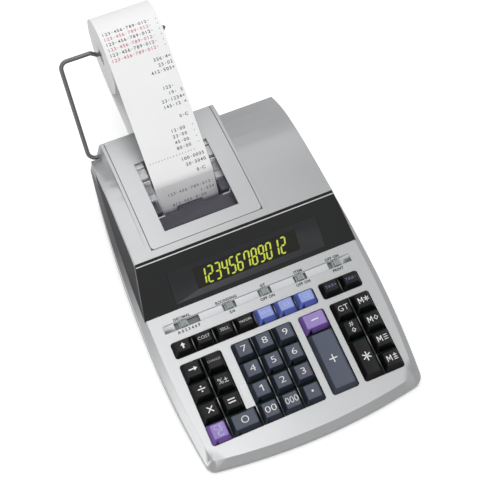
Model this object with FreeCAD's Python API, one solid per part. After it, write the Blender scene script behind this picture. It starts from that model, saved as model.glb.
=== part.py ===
import FreeCAD, Part
import math
import os

# Printing desk calculator with a sloping key deck, a display panel and a paper printer.
# Millimetres. X runs to the right, Y to the rear, Z up. The desk is at z = 0.
# The foot of the display panel is the line y = 0 until the finished pieces are centred.

V = FreeCAD.Vector

# Outline of the case seen from above
half_width = 108.5
widest_y = -30.0
side_radius_front = 836.0
side_radius_rear = 1350.0
front_y = -148.0
front_radius = 580.0
rear_y = 163.0
front_corner = 9.0
rear_corner = 6.0
least_corner = 2.0

# Sloping deck, seam and shells
deck_height = 36.3
deck_tilt = 8.3
shoulder_width = 6.0
crease_radius_rear = 1800.0
shoulder_drop = 5.5
wall = 2.4
deck_thickness = 2.5
rim_width = 2.1
rim_drop = 1.9
deck_end_y = 6.0
underside = 1.5
floor_thickness = 2.0
edge_bevel = 1.6
seam_height = 22.3
seam_slope = 0.106
seam_gap = 0.4

# Keys and their wells
pitch_u = 19.7
pitch_v = 19.15
key_gap = 1.5
edge_gap = 0.5
key_top = 6.6
key_skirt = 3.2
key_side_slope = 3.1
key_front_slope = 3.7
key_rear_slope = 1.9
key_corner = 1.1
key_shoulder = 0.4
dish_depth = 0.3
key_travel = 2.5
key_rest = 0.5
well_wall = 1.2
well_gap = 0.2
separator = 0.7
separator_top = 0.7
well_corner = 2.5
well_overlap = 6.0
pad_v = 48.2
top_row_v = 27.0
top_row_depth = 15.4
left_pad_u = -91.0
number_pad_u = -43.2
column_u = 22.0
column_width = 25.3
right_pad_u = 52.9
tax_u = 51.6

# Slide switches
groove_front = 17.4
groove_rear = 10.0
groove_depth = 1.0
groove_half_length = 91.0
window_v = 14.0
window_depth = 6.4
knob_width = 5.4
knob_depth = 5.8
knob_rise = 1.8
knob_flange = 8.6
knob_flange_thickness = 1.1
knob_play = 0.3
knob_grooves = 3
knob_groove_half = 0.47
knob_groove_depth = 0.75

# Circuit board under the keys
board_top = key_skirt + key_travel + key_rest
board_thickness = 2.2
board_half_width = 93.0
board_front = 126.0
board_rear = 8.0
switch_body_play = 0.3
switch_body_half_depth = 4.0
switch_body_margin = 2.0
board_rib_places = (30.0, 70.0, 110.0)
well_depth = board_top - well_gap
switch_body_top = deck_thickness + knob_play + knob_flange_thickness + switch_body_play

# Upper housing: display panel, side panels and rear cover
panel_top_y = 37.4
panel_top_z = 72.1
panel_thickness = 3.2
shell = 2.4
cover_lip = 3.0
cover_apex_y = 100.0
cover_apex_z = 75.0
cover_radius_front = 677.0
cover_radius_rear = 148.75
cover_curve_start = -10.0
cover_curve_end = 178.0
cover_inset_front = 13.5
cover_inset_rear = 15.9
foot_inset = 4.8
foot_flare = 0.5
side_tuck = 8.0
least_side_height = 3.0
side_depth = 28.5
side_end_y = 145.0
panel_joint = 0.1
housing_stations = (0.0, panel_top_y, 80.0, 120.0)

# Display pocket and module, measured along the panel from its foot
pocket_left = -72.5
pocket_right = 74.0
pocket_low = 4.6
pocket_high = 35.0
window_left = -48.0
window_right = 51.3
window_low = 9.8
window_high = 29.0
pocket_depth = 2.6
trim_height = 48.6
trim_width = 1.1
trim_depth = 0.35
glass_play = 0.1
module_margin = 2.5
module_depth = 5.0

# Raised centre of the rear cover and the printer cover in it
hump_middle = -23.5
hump_half_width = 56.5
hump_side_slope = 0.3
hump_reference_z = 76.0
hump_front_y = 42.0
hump_rear_y = 168.0
hump_edge_y = 162.0
hump_edge_radius = 16.0
hump_apex_y = 135.0
hump_apex_z = 77.0
hump_radius_front = 985.0
hump_radius_rear = 364.0
hump_curve_start = 20.0
hump_curve_end = 171.0
hump_underside = 54.0
door_half_width = 53.25
door_front_y = 44.5
door_corner = 4.5
door_thickness = 2.4
door_ledge = 2.0
door_seam = 0.3
door_play = 0.2
inlet_low = 64.0
inlet_z = 70.4
inlet_half_width = 31.8
rear_wall = 2.6
lid_thickness = 2.0
case_wall_room = 1.0

# Window in the printer cover and the smoked tear cover
opening_half_width = 35.5
opening_front_y = 57.5
opening_rear_y = 133.0
tear_thickness = 1.4
tear_front_z = 68.6
tear_middle_z = 71.6
tear_edge_y = 103.0
tear_edge_z = 70.6
tear_flat = 2.0
tear_ear_y = 112.0
tear_ear_width = 6.2
tear_play = 0.4
tear_flange = 3.2
tear_seat = 0.05
tear_teeth = 24
tear_tooth_depth = 0.9
tear_slot = 2.0
grip_ribs = 16
grip_inset = 4.0
grip_rib_width = 0.9
grip_rib_length = 5.0
grip_rib_rise = 2.0

# Paper
paper_width = 57.0
paper_middle = -22.3
paper_thickness = 0.25
paper_gap = 0.3
inlet_inset = 2.5
inlet_bend = 12.0
exit_beyond = 1.8
exit_above = 1.6
exit_bend = 14.0
paper_tail_angle = 20.0

# Paper roll and its wire arm
roll_y = 228.0
roll_z = 118.7
roll_radius = 35.4
bore_radius = 7.5
wire_radius = 2.0
wire_sides = 8
arm_y = 166.0
arm_z = 60.0
arm_out_x = hump_middle - hump_half_width - 12.5
arm_top_x = hump_middle - hump_half_width - 9.5
arm_inner_x = hump_middle - hump_half_width + 4.5
arm_top_y = 229.5
arm_top_z = 127.5
arm_bend = 7.0
arm_kink_bend = 3.0
arm_kink_start = 9.0
arm_kink_end = 3.5
arm_end_start = 2.5
arm_end_length = 4.0
arm_end_lean = 2.0
arm_end_rise = 6.0
arm_side_room = 5.0
arm_end_play = 0.5
bore_contact_play = 0.15
hinge_play = 0.05

# Printing mechanism
platen_y = 101.5
platen_z = 44.0
platen_radius = 9.3
platen_length = 62.0
platen_shaft = 3.0
shaft_end = 2.0
frame_plate = 2.0
frame_left = -62.0
frame_right = 15.0
frame_front = 56.0
frame_rear = 150.0
frame_foot_z = 12.0
frame_top_z = 64.0
frame_shoulder_z = 50.0
frame_rear_slope = 12.0
frame_front_slope = 10.0
rod_radius = 1.5
rod_y = 82.0
rod_z = 34.0
rail_y = 66.0
rail_z = 30.0
rail_play = 0.1
rail_width = 3.2
carriage_front = 64.0
carriage_outline = (
    (carriage_front, 27.0), (80.0, 27.0), (86.0, 31.0), (90.5, 43.0), (90.5, 52.0), (86.0, 56.0),
    (carriage_front, 56.0),
)
cheek_outline = (
    (84.0, 62.0), (96.0, 62.0), (96.0, 65.4), (103.0, 65.4), (103.0, 66.7), (112.6, 66.7), (113.6, 71.2),
    (114.6, 71.2), (114.6, 62.0), (117.2, 62.0), (117.2, 72.4), (127.6, 72.8), (127.6, 66.0), (129.0, 66.0),
    (129.0, 73.0), (136.0, 73.0), (139.0, 70.0), (139.0, 58.0), (84.0, 58.0),
)
guide_outline = ((114.0, 35.0), (149.0, 54.5), (149.0, 56.5), (114.0, 37.0))
carriage_width = 24.0
shield_z = 59.0
shield_rear = 81.0
shield_thickness = 1.5
cheek_width = 6.3
post_half = 4.0
rail_height = 1.6

# Feet and cord gland
foot_places = ((86.0, -120.0), (78.0, 140.0))
foot_half_width = 9.0
foot_half_depth = 4.5
foot_corner = 2.0
foot_recess = 0.8
gland_x = 62.0
gland_z = 16.0
gland_bore = 3.6

centre_y = (front_y + roll_y + roll_radius + paper_gap + paper_thickness) / 2
tilt = math.radians(deck_tilt)
panel_angle = math.atan2(panel_top_z - deck_height, panel_top_y)
deck_frame = FreeCAD.Placement(V(0, 0, deck_height), FreeCAD.Rotation(V(1, 0, 0), deck_tilt))
panel_frame = FreeCAD.Placement(
    V(0, 0, deck_height), FreeCAD.Rotation(V(1, 0, 0), math.degrees(panel_angle))
)

# FAR and DEEP lie outside the object. Cutting shapes pass the face that they open by PAST,
# or by HAIR where their outline must be true at the face. Pieces that are fused sink in by SINK.
FAR = 150.0
DEEP = -30.0
PAST = 1.0
SINK = 0.5
HAIR = 0.01


# General shapes


def box(x0, y0, z0, x1, y1, z1):
    return Part.makeBox(x1 - x0, y1 - y0, z1 - z0, V(x0, y0, z0))


def rod(start, end, radius):
    direction = end - start
    return Part.makeCylinder(radius, direction.Length, start, direction)


def prism(wire, height):
    return Part.Face(wire).extrude(V(0, 0, height))


def slice_along_x(points, x0=-FAR, x1=FAR):
    """Solid with the given outline of (y, z) points, from x0 to x1."""
    return polygon_face([V(x0, y, z) for y, z in points]).extrude(V(x1 - x0, 0, 0))


def rounded_rectangle(x0, y0, x1, y1, radius, z):
    k = radius * (1 - math.sqrt(0.5))
    corners = (
        (V(x1 - radius, y0, z), V(x1 - k, y0 + k, z), V(x1, y0 + radius, z)),
        (V(x1, y1 - radius, z), V(x1 - k, y1 - k, z), V(x1 - radius, y1, z)),
        (V(x0 + radius, y1, z), V(x0 + k, y1 - k, z), V(x0, y1 - radius, z)),
        (V(x0, y0 + radius, z), V(x0 + k, y0 + k, z), V(x0 + radius, y0, z)),
    )
    edges = []
    for i, (start, middle, end) in enumerate(corners):
        edges.append(Part.Arc(start, middle, end).toShape())
        following = corners[(i + 1) % 4][0]
        edges.append(Part.LineSegment(end, following).toShape())
    return Part.Wire(edges)


def rectangle(x0, y0, x1, y1, z):
    return [V(x0, y0, z), V(x1, y0, z), V(x1, y1, z), V(x0, y1, z)]


def chamfered_rectangle(x0, y0, x1, y1, cut, z):
    """Corner points of a rectangle whose corners are cut off at 45 degrees."""
    outline = (
        (x0 + cut, y0), (x1 - cut, y0), (x1, y0 + cut), (x1, y1 - cut),
        (x1 - cut, y1), (x0 + cut, y1), (x0, y1 - cut), (x0, y0 + cut),
    )
    return [V(x, y, z) for x, y in outline]


def polygon_face(points):
    return Part.Face(Part.makePolygon(list(points) + [points[0]]))


def stacked(rings):
    """Solid with flat faces between outlines that have the same number of points."""
    faces = [polygon_face(rings[0]), polygon_face(rings[-1])]
    for low, high in zip(rings, rings[1:]):
        for i in range(len(low)):
            j = (i + 1) % len(low)
            faces.append(polygon_face((low[i], low[j], high[j], high[i])))
    shell_of_faces = Part.makeShell(faces)
    shell_of_faces.sewShape()
    solid = Part.makeSolid(shell_of_faces)
    if solid.Volume < 0:
        solid.reverse()
    return solid


def placed(shape, frame):
    result = shape.copy()
    result.Placement = frame.multiply(result.Placement)
    return result


def on_deck(shape):
    """Moves a shape drawn with the deck as its XY plane, v towards the front as -Y."""
    return placed(shape, deck_frame)


def on_panel(shape):
    return placed(shape, panel_frame)


def joined(shapes):
    return shapes[0].fuse(list(shapes[1:])).removeSplitter()


def rounded_path(points, radii):
    """Wire of straight runs through the points, with tangent arcs at the inner ones."""
    edges = []
    at = points[0]
    for i in range(1, len(points) - 1):
        before = (points[i] - points[i - 1]).normalize()
        after = (points[i + 1] - points[i]).normalize()
        turn = before.getAngle(after)
        reach = radii[i - 1] * math.tan(turn / 2)
        start = points[i] - before * reach
        end = points[i] + after * reach
        inward = (after - before).normalize()
        middle = points[i] + inward * (radii[i - 1] / math.cos(turn / 2) - radii[i - 1])
        if (start - at).Length > 1e-6:
            edges.append(Part.LineSegment(at, start).toShape())
        edges.append(Part.Arc(start, middle, end).toShape())
        at = end
    edges.append(Part.LineSegment(at, points[-1]).toShape())
    return Part.Wire(edges)


# Outline of the case


def arc_about(centre, start, end):
    radius = (start - centre).Length
    middle = centre + ((start - centre) + (end - centre)).normalize() * radius
    return Part.Arc(start, middle, end).toShape()


def mirror_point(point):
    return V(-point.x, point.y, point.z)


def footprint(inset, z=0.0, rear_radius=side_radius_rear):
    """Outline of the case from above, moved in by inset, with a chosen radius for the rear sides."""
    front_centre = V(0, front_y + front_radius, z)
    side_front_centre = V(half_width - side_radius_front, widest_y, z)
    side_rear_centre = V(half_width - rear_radius, widest_y, z)
    r_front = front_radius - inset
    r_side = side_radius_front - inset
    r_rear = rear_radius - inset
    corner = max(front_corner - inset, least_corner)
    back_corner = max(rear_corner - inset, least_corner)
    back_inset = 0.0 if rear_radius == crease_radius_rear else inset
    # the front corner's centre is at a set distance from both larger arcs' centres
    between = side_front_centre - front_centre
    gap = between.Length
    a = r_front - corner
    b = r_side - corner
    along = (a * a - b * b + gap * gap) / (2 * gap)
    across = math.sqrt(a * a - along * along)
    unit = between * (1 / gap)
    normal = V(unit.y, -unit.x, 0)
    candidates = [front_centre + unit * along + normal * s * across for s in (1, -1)]
    corner_centre = max(candidates, key=lambda p: p.x - p.y)
    front_end = front_centre + (corner_centre - front_centre).normalize() * r_front
    side_start = side_front_centre + (corner_centre - side_front_centre).normalize() * r_side
    widest = V(half_width - inset, widest_y, z)
    back_y = rear_y - back_inset - back_corner
    back_x = side_rear_centre.x + math.sqrt((r_rear - back_corner) ** 2 - (back_y - widest_y) ** 2)
    back_centre = V(back_x, back_y, z)
    side_end = side_rear_centre + (back_centre - side_rear_centre).normalize() * r_rear
    back_end = V(back_x, rear_y - back_inset, z)
    right = (
        (corner_centre, front_end, side_start),
        (side_front_centre, side_start, widest),
        (side_rear_centre, widest, side_end),
        (back_centre, side_end, back_end),
    )
    edges = [arc_about(front_centre, mirror_point(front_end), front_end)]
    edges += [arc_about(centre, start, end) for centre, start, end in right]
    edges.append(Part.LineSegment(back_end, mirror_point(back_end)).toShape())
    for centre, start, end in reversed(right):
        edges.append(arc_about(mirror_point(centre), mirror_point(end), mirror_point(start)))
    return Part.Wire(edges)


def case_prism(inset, z0=DEEP, z1=FAR, rear_radius=side_radius_rear):
    return prism(footprint(inset, z0, rear_radius), z1 - z0)


def half_width_at(y):
    radius = side_radius_front if y < widest_y else side_radius_rear
    return half_width - radius + math.sqrt(radius**2 - (y - widest_y) ** 2)


def deck_z(y, depth=0.0):
    return deck_height + y * math.tan(tilt) - depth / math.cos(tilt)


def seam_z(y):
    return seam_height + y * seam_slope


def below_plane(height):
    """Solid under a plane that rises along Y, from its height at each y."""
    y0, y1 = -FAR * 2, FAR * 2
    return slice_along_x(((y0, DEEP * 2), (y1, DEEP * 2), (y1, height(y1)), (y0, height(y0))))


def below_deck(depth):
    return below_plane(lambda y: deck_z(y, depth))


def below_seam(offset=0.0):
    return below_plane(lambda y: seam_z(y) + offset)


def deck_outline(inset, depth, rear_radius=side_radius_rear):
    """The outline moved in by inset, where it meets the plane depth below the deck."""
    size = FAR * 4
    plane = Part.makePlane(size, size, V(-size / 2, -size / 2, -depth), V(0, 0, 1))
    cut = on_deck(plane).common(case_prism(inset, rear_radius=rear_radius))
    return cut.Faces[0].OuterWire


def case_form():
    """Outer form of the case: upright walls, then a shoulder that slopes in to the crease of the deck."""
    upright = case_prism(0.0).common(below_deck(shoulder_drop))
    edge = deck_outline(0.0, shoulder_drop)
    crease = deck_outline(shoulder_width, 0.0, crease_radius_rear)
    return upright.fuse(Part.makeLoft([edge, crease], True, True))


# Key layout, as u to the right and v to the front on the deck


def grid_cell(pad_u, pad_top, column, row, columns=1, rows=1):
    u0 = pad_u + edge_gap + column * pitch_u
    v0 = pad_top + edge_gap + row * pitch_v
    u1 = u0 + columns * pitch_u - key_gap
    v1 = v0 + rows * pitch_v - key_gap
    return u0, v0, u1, v1


def key_layout():
    cells = {}
    row_names = ("paper_feed", "cost", "sell", "margin", "rate_1", "rate_2", "rate_3")
    depth = top_row_depth - 2 * edge_gap
    for i, name in enumerate(row_names):
        u0, v0, u1, _ = grid_cell(left_pad_u, top_row_v, i, 0)
        cells[name] = (u0, v0, u1, v0 + depth)
    for i, name in enumerate(("tax_plus", "tax_minus")):
        u0, v0, u1, _ = grid_cell(tax_u, top_row_v, i, 0)
        cells[name] = (u0, v0, u1, v0 + depth)
    left = (("backspace", "change"), ("divide", "percent"), ("multiply", "equals"), ("clear",))
    for row, names in enumerate(left):
        for column, name in enumerate(names):
            cells[name] = grid_cell(left_pad_u, pad_v, column, row)
    numbers = (("7", "8", "9"), ("4", "5", "6"), ("1", "2", "3"), ("00", "000", "point"))
    for row, names in enumerate(numbers):
        for column, name in enumerate(names):
            cells[name] = grid_cell(number_pad_u, pad_v, column, row)
    zero = grid_cell(left_pad_u, pad_v, 1, 3)
    cells["0"] = (zero[0], zero[1], number_pad_u + edge_gap - key_gap, zero[3])
    column_end = column_u + column_width - edge_gap
    _, v0, _, v1 = grid_cell(column_u, pad_v, 0, 0)
    cells["minus"] = (column_u + edge_gap, v0, column_end, v1)
    _, v0, _, v1 = grid_cell(column_u, pad_v, 0, 1, 1, 3)
    cells["plus"] = (column_u + edge_gap, v0, column_end, v1)
    cells["grand_total"] = grid_cell(right_pad_u, pad_v, 0, 0)
    cells["subtotal"] = grid_cell(right_pad_u, pad_v, 0, 1)
    cells["total"] = grid_cell(right_pad_u, pad_v, 0, 2, 1, 2)
    memory = ("memory_total", "memory_subtotal", "memory_minus", "memory_plus")
    for row, name in enumerate(memory):
        cells[name] = grid_cell(right_pad_u, pad_v, 1, row)
    return cells


def pad_height(rows):
    return rows * pitch_v - key_gap + 2 * edge_gap


def pad_width(columns):
    return columns * pitch_u - key_gap + 2 * edge_gap


def well_rectangles():
    """The openings in the deck as (u0, v0, u1, v1). The third joins the left and number pads."""
    bottom = pad_v + pad_height(4)
    row_four = pad_v + 3 * pitch_v
    top_row_end = top_row_v + top_row_depth
    return (
        (left_pad_u, pad_v, left_pad_u + pad_width(2), bottom),
        (number_pad_u, pad_v, number_pad_u + pad_width(3), bottom),
        (left_pad_u + pad_width(2) - well_overlap, row_four, number_pad_u + well_overlap, bottom),
        (column_u, pad_v, column_u + column_width, bottom),
        (right_pad_u, pad_v, right_pad_u + pad_width(2), bottom),
        (left_pad_u, top_row_v, left_pad_u + pad_width(7), top_row_end),
        (tax_u, top_row_v, tax_u + pad_width(2), top_row_end),
    )


def switch_windows():
    """Name, left end, right end and knob position of each slide switch."""
    return (
        ("decimal", -81.0, -57.5, -72.4),
        ("rounding", -34.8, -22.6, -28.7),
        ("grand_total", -0.3, 11.9, 5.8),
        ("item", 34.6, 46.8, 40.7),
        ("print", 68.8, 81.0, 77.4),
    )


# Key pieces


def key_cap(cell):
    """Upright skirt in the well, then sloping sides up to a top that is hollowed across."""
    u0, v0, u1, v1 = cell
    y0, y1 = -v1, -v0
    cap = stacked((
        chamfered_rectangle(u0, y0, u1, y1, key_corner, -key_skirt),
        chamfered_rectangle(u0, y0, u1, y1, key_corner, key_shoulder),
        chamfered_rectangle(u0 + key_side_slope, y0 + key_front_slope, u1 - key_side_slope,
                            y1 - key_rear_slope, key_corner, key_top),
    ))
    middle = V((u0 + u1) / 2, y0, 0)
    half_top = (u1 - u0) / 2 - key_side_slope
    radius = half_top**2 / (2 * dish_depth)
    axis_z = key_top + radius - dish_depth
    dish = Part.makeCylinder(radius, y1 - y0, V(middle.x, y0, axis_z), V(0, 1, 0))
    return on_deck(cap.cut(dish))


def switch_knob(position):
    half_u = knob_width / 2
    half_v = knob_depth / 2
    grip = box(position - half_u, -window_v - half_v, -deck_thickness - knob_play,
               position + half_u, -window_v + half_v, knob_rise)
    groove_pitch = knob_width / (knob_grooves + 1)
    for i in range(knob_grooves):
        grip = grip.cut(knob_groove(position - half_u + (i + 1) * groove_pitch))
    flange_top = -deck_thickness - knob_play
    half_flange = knob_flange / 2
    flange = box(position - half_flange, -window_v - half_flange, flange_top - knob_flange_thickness,
                 position + half_flange, -window_v + half_flange, flange_top)
    return on_deck(joined([grip, flange]))


def knob_groove(at):
    """Small vee groove across a knob's top."""
    start = -window_v - knob_depth / 2 - PAST
    points = (
        V(at - knob_groove_half, start, knob_rise + HAIR),
        V(at + knob_groove_half, start, knob_rise + HAIR),
        V(at, start, knob_rise - knob_groove_depth),
    )
    return polygon_face(points).extrude(V(0, knob_depth + 2 * PAST, 0))


def keypad_board():
    front, rear = -board_front, -board_rear
    board = box(-board_half_width, front, -board_top - board_thickness, board_half_width, rear, -board_top)
    bodies = [board]
    for _, start, end, _ in switch_windows():
        middle = (start + end) / 2
        half = (end - start) / 2 + switch_body_margin
        bodies.append(box(middle - half, -window_v - switch_body_half_depth, -board_top,
                          middle + half, -window_v + switch_body_half_depth, -switch_body_top))
    return on_deck(joined(bodies))


# Cases


def top_case():
    inner_crease = shoulder_width + rim_width
    body = case_form().cut(case_prism(wall).common(below_deck(shoulder_drop + rim_drop)))
    body = body.cut(case_prism(inner_crease).common(below_deck(deck_thickness)))
    body = body.cut(case_prism(inner_crease).common(behind(deck_end_y)))
    body = body.cut(below_seam(seam_gap))
    body = body.fuse(key_wells()).cut(key_spaces()).fuse(key_separators())
    return body.cut(switch_groove()).removeSplitter()


def key_wells():
    """Blocks under the deck whose walls are left standing round the key spaces."""
    blocks = []
    for u0, v0, u1, v1 in well_rectangles():
        blocks.append(box(u0 - well_wall, -v1 - well_wall, -well_depth, u1 + well_wall, -v0 + well_wall,
                          -deck_thickness + SINK))
    return on_deck(joined(blocks))


def key_spaces():
    spaces = []
    for u0, v0, u1, v1 in well_rectangles():
        wire = rounded_rectangle(u0, -v1, u1, -v0, well_corner, -well_depth - PAST)
        spaces.append(prism(wire, well_depth + 2 * PAST))
    return on_deck(joined(spaces))


def key_separators():
    """Thin upright ribs of the case between neighbouring key columns, along the whole well."""
    bottom = pad_v + pad_height(4)
    row_four = pad_v + 3 * pitch_v
    top_row_end = top_row_v + top_row_depth
    runs = [(left_pad_u, column, top_row_v, top_row_end) for column in range(1, 7)]
    runs += [(tax_u, 1, top_row_v, top_row_end), (left_pad_u, 1, pad_v, bottom)]
    runs += [(number_pad_u, 0, row_four + edge_gap, bottom), (right_pad_u, 1, pad_v, bottom)]
    runs += [(number_pad_u, column, pad_v, bottom) for column in (1, 2)]
    ribs = []
    for pad_u, column, start, end in runs:
        middle = pad_u + edge_gap + column * pitch_u - key_gap / 2
        ribs.append(box(middle - separator / 2, -end - SINK, -well_depth,
                        middle + separator / 2, -start + SINK, -separator_top))
    return on_deck(Part.makeCompound(ribs))


def switch_groove():
    length = groove_half_length
    cut = [box(-length, -groove_front, -groove_depth, length, -groove_rear, PAST)]
    for _, start, end, _ in switch_windows():
        half = window_depth / 2
        cut.append(box(start, -window_v - half, -deck_thickness - PAST, end, -window_v + half, 0))
    return on_deck(joined(cut))


def bottom_case():
    outlines = [footprint(edge_bevel, underside), footprint(0, underside + edge_bevel)]
    bevel = Part.makeLoft(outlines, True, True)
    body = bevel.fuse(case_prism(0, underside + edge_bevel)).common(below_seam())
    floor_z = underside + floor_thickness
    body = body.cut(case_prism(wall, floor_z))
    additions = []
    for x, y in frame_posts():
        additions.append(box(x - post_half, y - post_half, floor_z - SINK,
                             x + post_half, y + post_half, frame_foot_z))
    for v in board_rib_places:
        rib = box(-board_half_width, -v - well_wall, floor_z - SINK, board_half_width, -v, FAR)
        additions.append(rib.common(below_deck(board_top + board_thickness)))
    body = body.fuse(additions)
    cuts = [foot_pad(x, y, underside - PAST, foot_recess + PAST) for x, y in foot_points()]
    cuts.append(rod(V(gland_x, rear_y - 2 * wall, gland_z), V(gland_x, rear_y + PAST, gland_z),
                    gland_bore))
    return body.cut(cuts).removeSplitter()


def frame_posts():
    inset = 2 * post_half
    xs = (frame_left + inset, frame_right - inset)
    ys = (frame_front + inset, frame_rear - inset)
    return [(x, y) for x in xs for y in ys]


def foot_points():
    return [(s * x, y) for x, y in foot_places for s in (1, -1)]


def foot_pad(x, y, z, height):
    x0, x1 = x - foot_half_width, x + foot_half_width
    y0, y1 = y - foot_half_depth, y + foot_half_depth
    return stacked([chamfered_rectangle(x0, y0, x1, y1, foot_corner, level) for level in (z, z + height)])


def rubber_feet():
    return Part.makeCompound([foot_pad(x, y, 0, underside + foot_recess) for x, y in foot_points()])


# Upper housing


def crown_z(y, apex_y, apex_z, radius_front, radius_rear):
    radius = radius_front if y < apex_y else radius_rear
    return apex_z - radius + math.sqrt(radius**2 - (y - apex_y) ** 2)


def cover_z(y):
    return crown_z(y, cover_apex_y, cover_apex_z, cover_radius_front, cover_radius_rear)


def hump_z(y):
    if y <= hump_edge_y:
        return crown_z(y, hump_apex_y, hump_apex_z, hump_radius_front, hump_radius_rear)
    # the rear edge rolls over with a small radius, level with the crown where it starts
    lean = math.asin((hump_edge_y - hump_apex_y) / hump_radius_rear)
    turn = math.sin(lean) + (y - hump_edge_y) / hump_edge_radius
    return hump_z(hump_edge_y) - hump_edge_radius * (math.cos(lean) - math.sqrt(1 - turn**2))


def below_crown(height, drop, knots):
    """Solid under a surface curved along Y, through arcs between the knots, lowered by drop."""
    def at(y):
        return V(-FAR, y, height(y) - drop)

    arcs = [Part.Arc(at(a), at((a + b) / 2), at(b)).toShape() for a, b in zip(knots, knots[1:])]
    sides = (at(knots[-1]), V(-FAR, knots[-1], DEEP), V(-FAR, knots[0], DEEP), at(knots[0]))
    lines = [Part.LineSegment(a, b).toShape() for a, b in zip(sides, sides[1:])]
    return Part.Face(Part.Wire(arcs + lines)).extrude(V(2 * FAR, 0, 0))


def below_cover(drop=0.0):
    return below_crown(cover_z, drop, (cover_curve_start, cover_apex_y, cover_curve_end))


def below_hump(drop=0.0):
    return below_crown(hump_z, drop, (hump_curve_start, hump_apex_y, hump_edge_y, hump_curve_end))


def housing_section(y, inset):
    """Right side of the housing's section: foot on the shoulder, and a point far above the edge."""
    share = y / rear_y
    foot_x = half_width_at(y) - foot_inset * (1 - foot_flare * share**3)
    foot_z = deck_z(y)
    share = (y - panel_top_y) / (rear_y - panel_top_y)
    edge_x = half_width - cover_inset_front - (cover_inset_rear - cover_inset_front) * share
    edge_z = max(cover_z(y), foot_z + least_side_height) if y > panel_top_y else panel_top_z
    slope = max((foot_x - edge_x) / (edge_z - foot_z), 0.0)
    low = V(foot_x - inset + slope * side_tuck, y, foot_z - side_tuck)
    high = V(foot_x - inset - slope * (FAR - foot_z), y, FAR)
    return low, high


def housing_solid(inset, y_end):
    sections = []
    for y in housing_stations + (y_end,):
        low, high = housing_section(y, inset)
        points = (low, high, mirror_point(high), mirror_point(low))
        sections.append(Part.makePolygon(points + points[:1]))
    return Part.makeLoft(sections, True, True)


def panel_side(offset):
    """Everything behind the panel's face moved back by offset."""
    return on_panel(box(-FAR, -FAR, -2 * FAR, FAR, 2 * FAR, -offset))


def housing_outer():
    body = housing_solid(0.0, rear_y).common(below_cover()).common(panel_side(0.0))
    return body.cut(case_form())


def housing_inner():
    return housing_solid(shell, rear_y - shell).common(below_cover(shell))


def behind(y):
    return box(-FAR, y, DEEP, FAR, 2 * FAR, FAR)


def display_panel():
    plate = housing_outer().cut(panel_side(panel_thickness)).cut(behind(panel_top_y + panel_joint))
    depth = -pocket_depth
    outer = rectangle(pocket_left, pocket_low, pocket_right, pocket_high, HAIR)
    inner = rectangle(window_left, window_low, window_right, window_high, depth)
    pocket = stacked((outer, inner))
    through = box(window_left, window_low, -panel_thickness - PAST, window_right, window_high, depth + HAIR)
    trim = box(-FAR, trim_height - trim_width / 2, -trim_depth, FAR, trim_height + trim_width / 2, PAST)
    return plate.cut(on_panel(pocket.fuse(through))).cut(on_panel(trim)).removeSplitter()


def display_module():
    back = -panel_thickness
    glass = box(window_left + glass_play, window_low + glass_play, back,
                window_right - glass_play, window_high - glass_play, -pocket_depth)
    body = box(window_left - module_margin, window_low - module_margin, back - module_depth,
               window_right + module_margin, window_high + module_margin, back)
    return on_panel(joined([glass, body]))


def side_panels():
    shell_part = housing_outer().cut(housing_inner()).common(panel_side(panel_thickness))
    under_cover = below_cover(cover_lip).fuse(box(-FAR, -FAR, 0, FAR, panel_top_y + panel_joint, FAR))
    sides = shell_part.common(under_cover)
    inner = half_width - side_depth
    sides = sides.cut(box(-inner, -FAR, 0, inner, 2 * FAR, FAR)).cut(behind(side_end_y))
    return sides.removeSplitter()


def hump_block():
    """Raised centre with sloping sides, from its front to the overhang behind the case."""
    def x_at(z):
        return hump_half_width + (hump_reference_z - z) * hump_side_slope

    low, high = 40.0, 90.0
    corners = [
        V(hump_middle - x_at(low), hump_front_y, low),
        V(hump_middle + x_at(low), hump_front_y, low),
        V(hump_middle + x_at(high), hump_front_y, high),
        V(hump_middle - x_at(high), hump_front_y, high),
    ]
    block = polygon_face(corners).extrude(V(0, hump_rear_y - hump_front_y, 0)).common(below_hump())
    over_case = below_cover(shell).common(box(-FAR, 0, DEEP, FAR, rear_y, FAR))
    behind_case = box(-FAR, rear_y, DEEP, FAR, 2 * FAR, hump_underside)
    return block.cut(over_case).cut(behind_case)


def door_prism(inset):
    """Upright prism on the printer cover's outline, open to the rear, moved in by inset."""
    half = door_half_width - inset
    wire = rounded_rectangle(hump_middle - half, door_front_y + inset, hump_middle + half, 2 * FAR,
                             door_corner - inset, 0)
    return prism(wire, FAR)


def rear_cover():
    plate = housing_outer().cut(housing_inner())
    plate = plate.common(behind(panel_top_y + panel_joint)).cut(below_cover(cover_lip))
    body = plate.fuse(hump_block())
    seat = door_prism(0.0).cut(below_hump(door_thickness + door_play))
    within_ledge = door_prism(door_ledge)
    inner = within_ledge.common(
        box(-FAR, 0, hump_underside + lid_thickness, FAR, hump_rear_y - rear_wall, FAR)
    )
    over_printer = within_ledge.common(box(-FAR, 0, 0, FAR, rear_y - wall - case_wall_room, FAR))
    slot = box(paper_middle - inlet_half_width, hump_rear_y - rear_wall - PAST, inlet_low,
               paper_middle + inlet_half_width, hump_rear_y + PAST, FAR)
    pivot = rod(V(arm_out_x - arm_side_room, arm_y, arm_z), V(arm_inner_x + arm_end_play, arm_y, arm_z),
                wire_radius + hinge_play)
    return body.cut(seat).cut(inner).cut(over_printer).cut(slot).cut(pivot).removeSplitter()


# Printer cover and tear cover


def printer_cover():
    plate = door_prism(door_seam).common(box(-FAR, 0, 0, FAR, hump_rear_y, FAR))
    plate = plate.common(below_hump()).cut(below_hump(door_thickness))
    window = box(hump_middle - opening_half_width, opening_front_y, 0,
                 hump_middle + opening_half_width, opening_rear_y, FAR)
    return plate.cut(window).removeSplitter()


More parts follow.
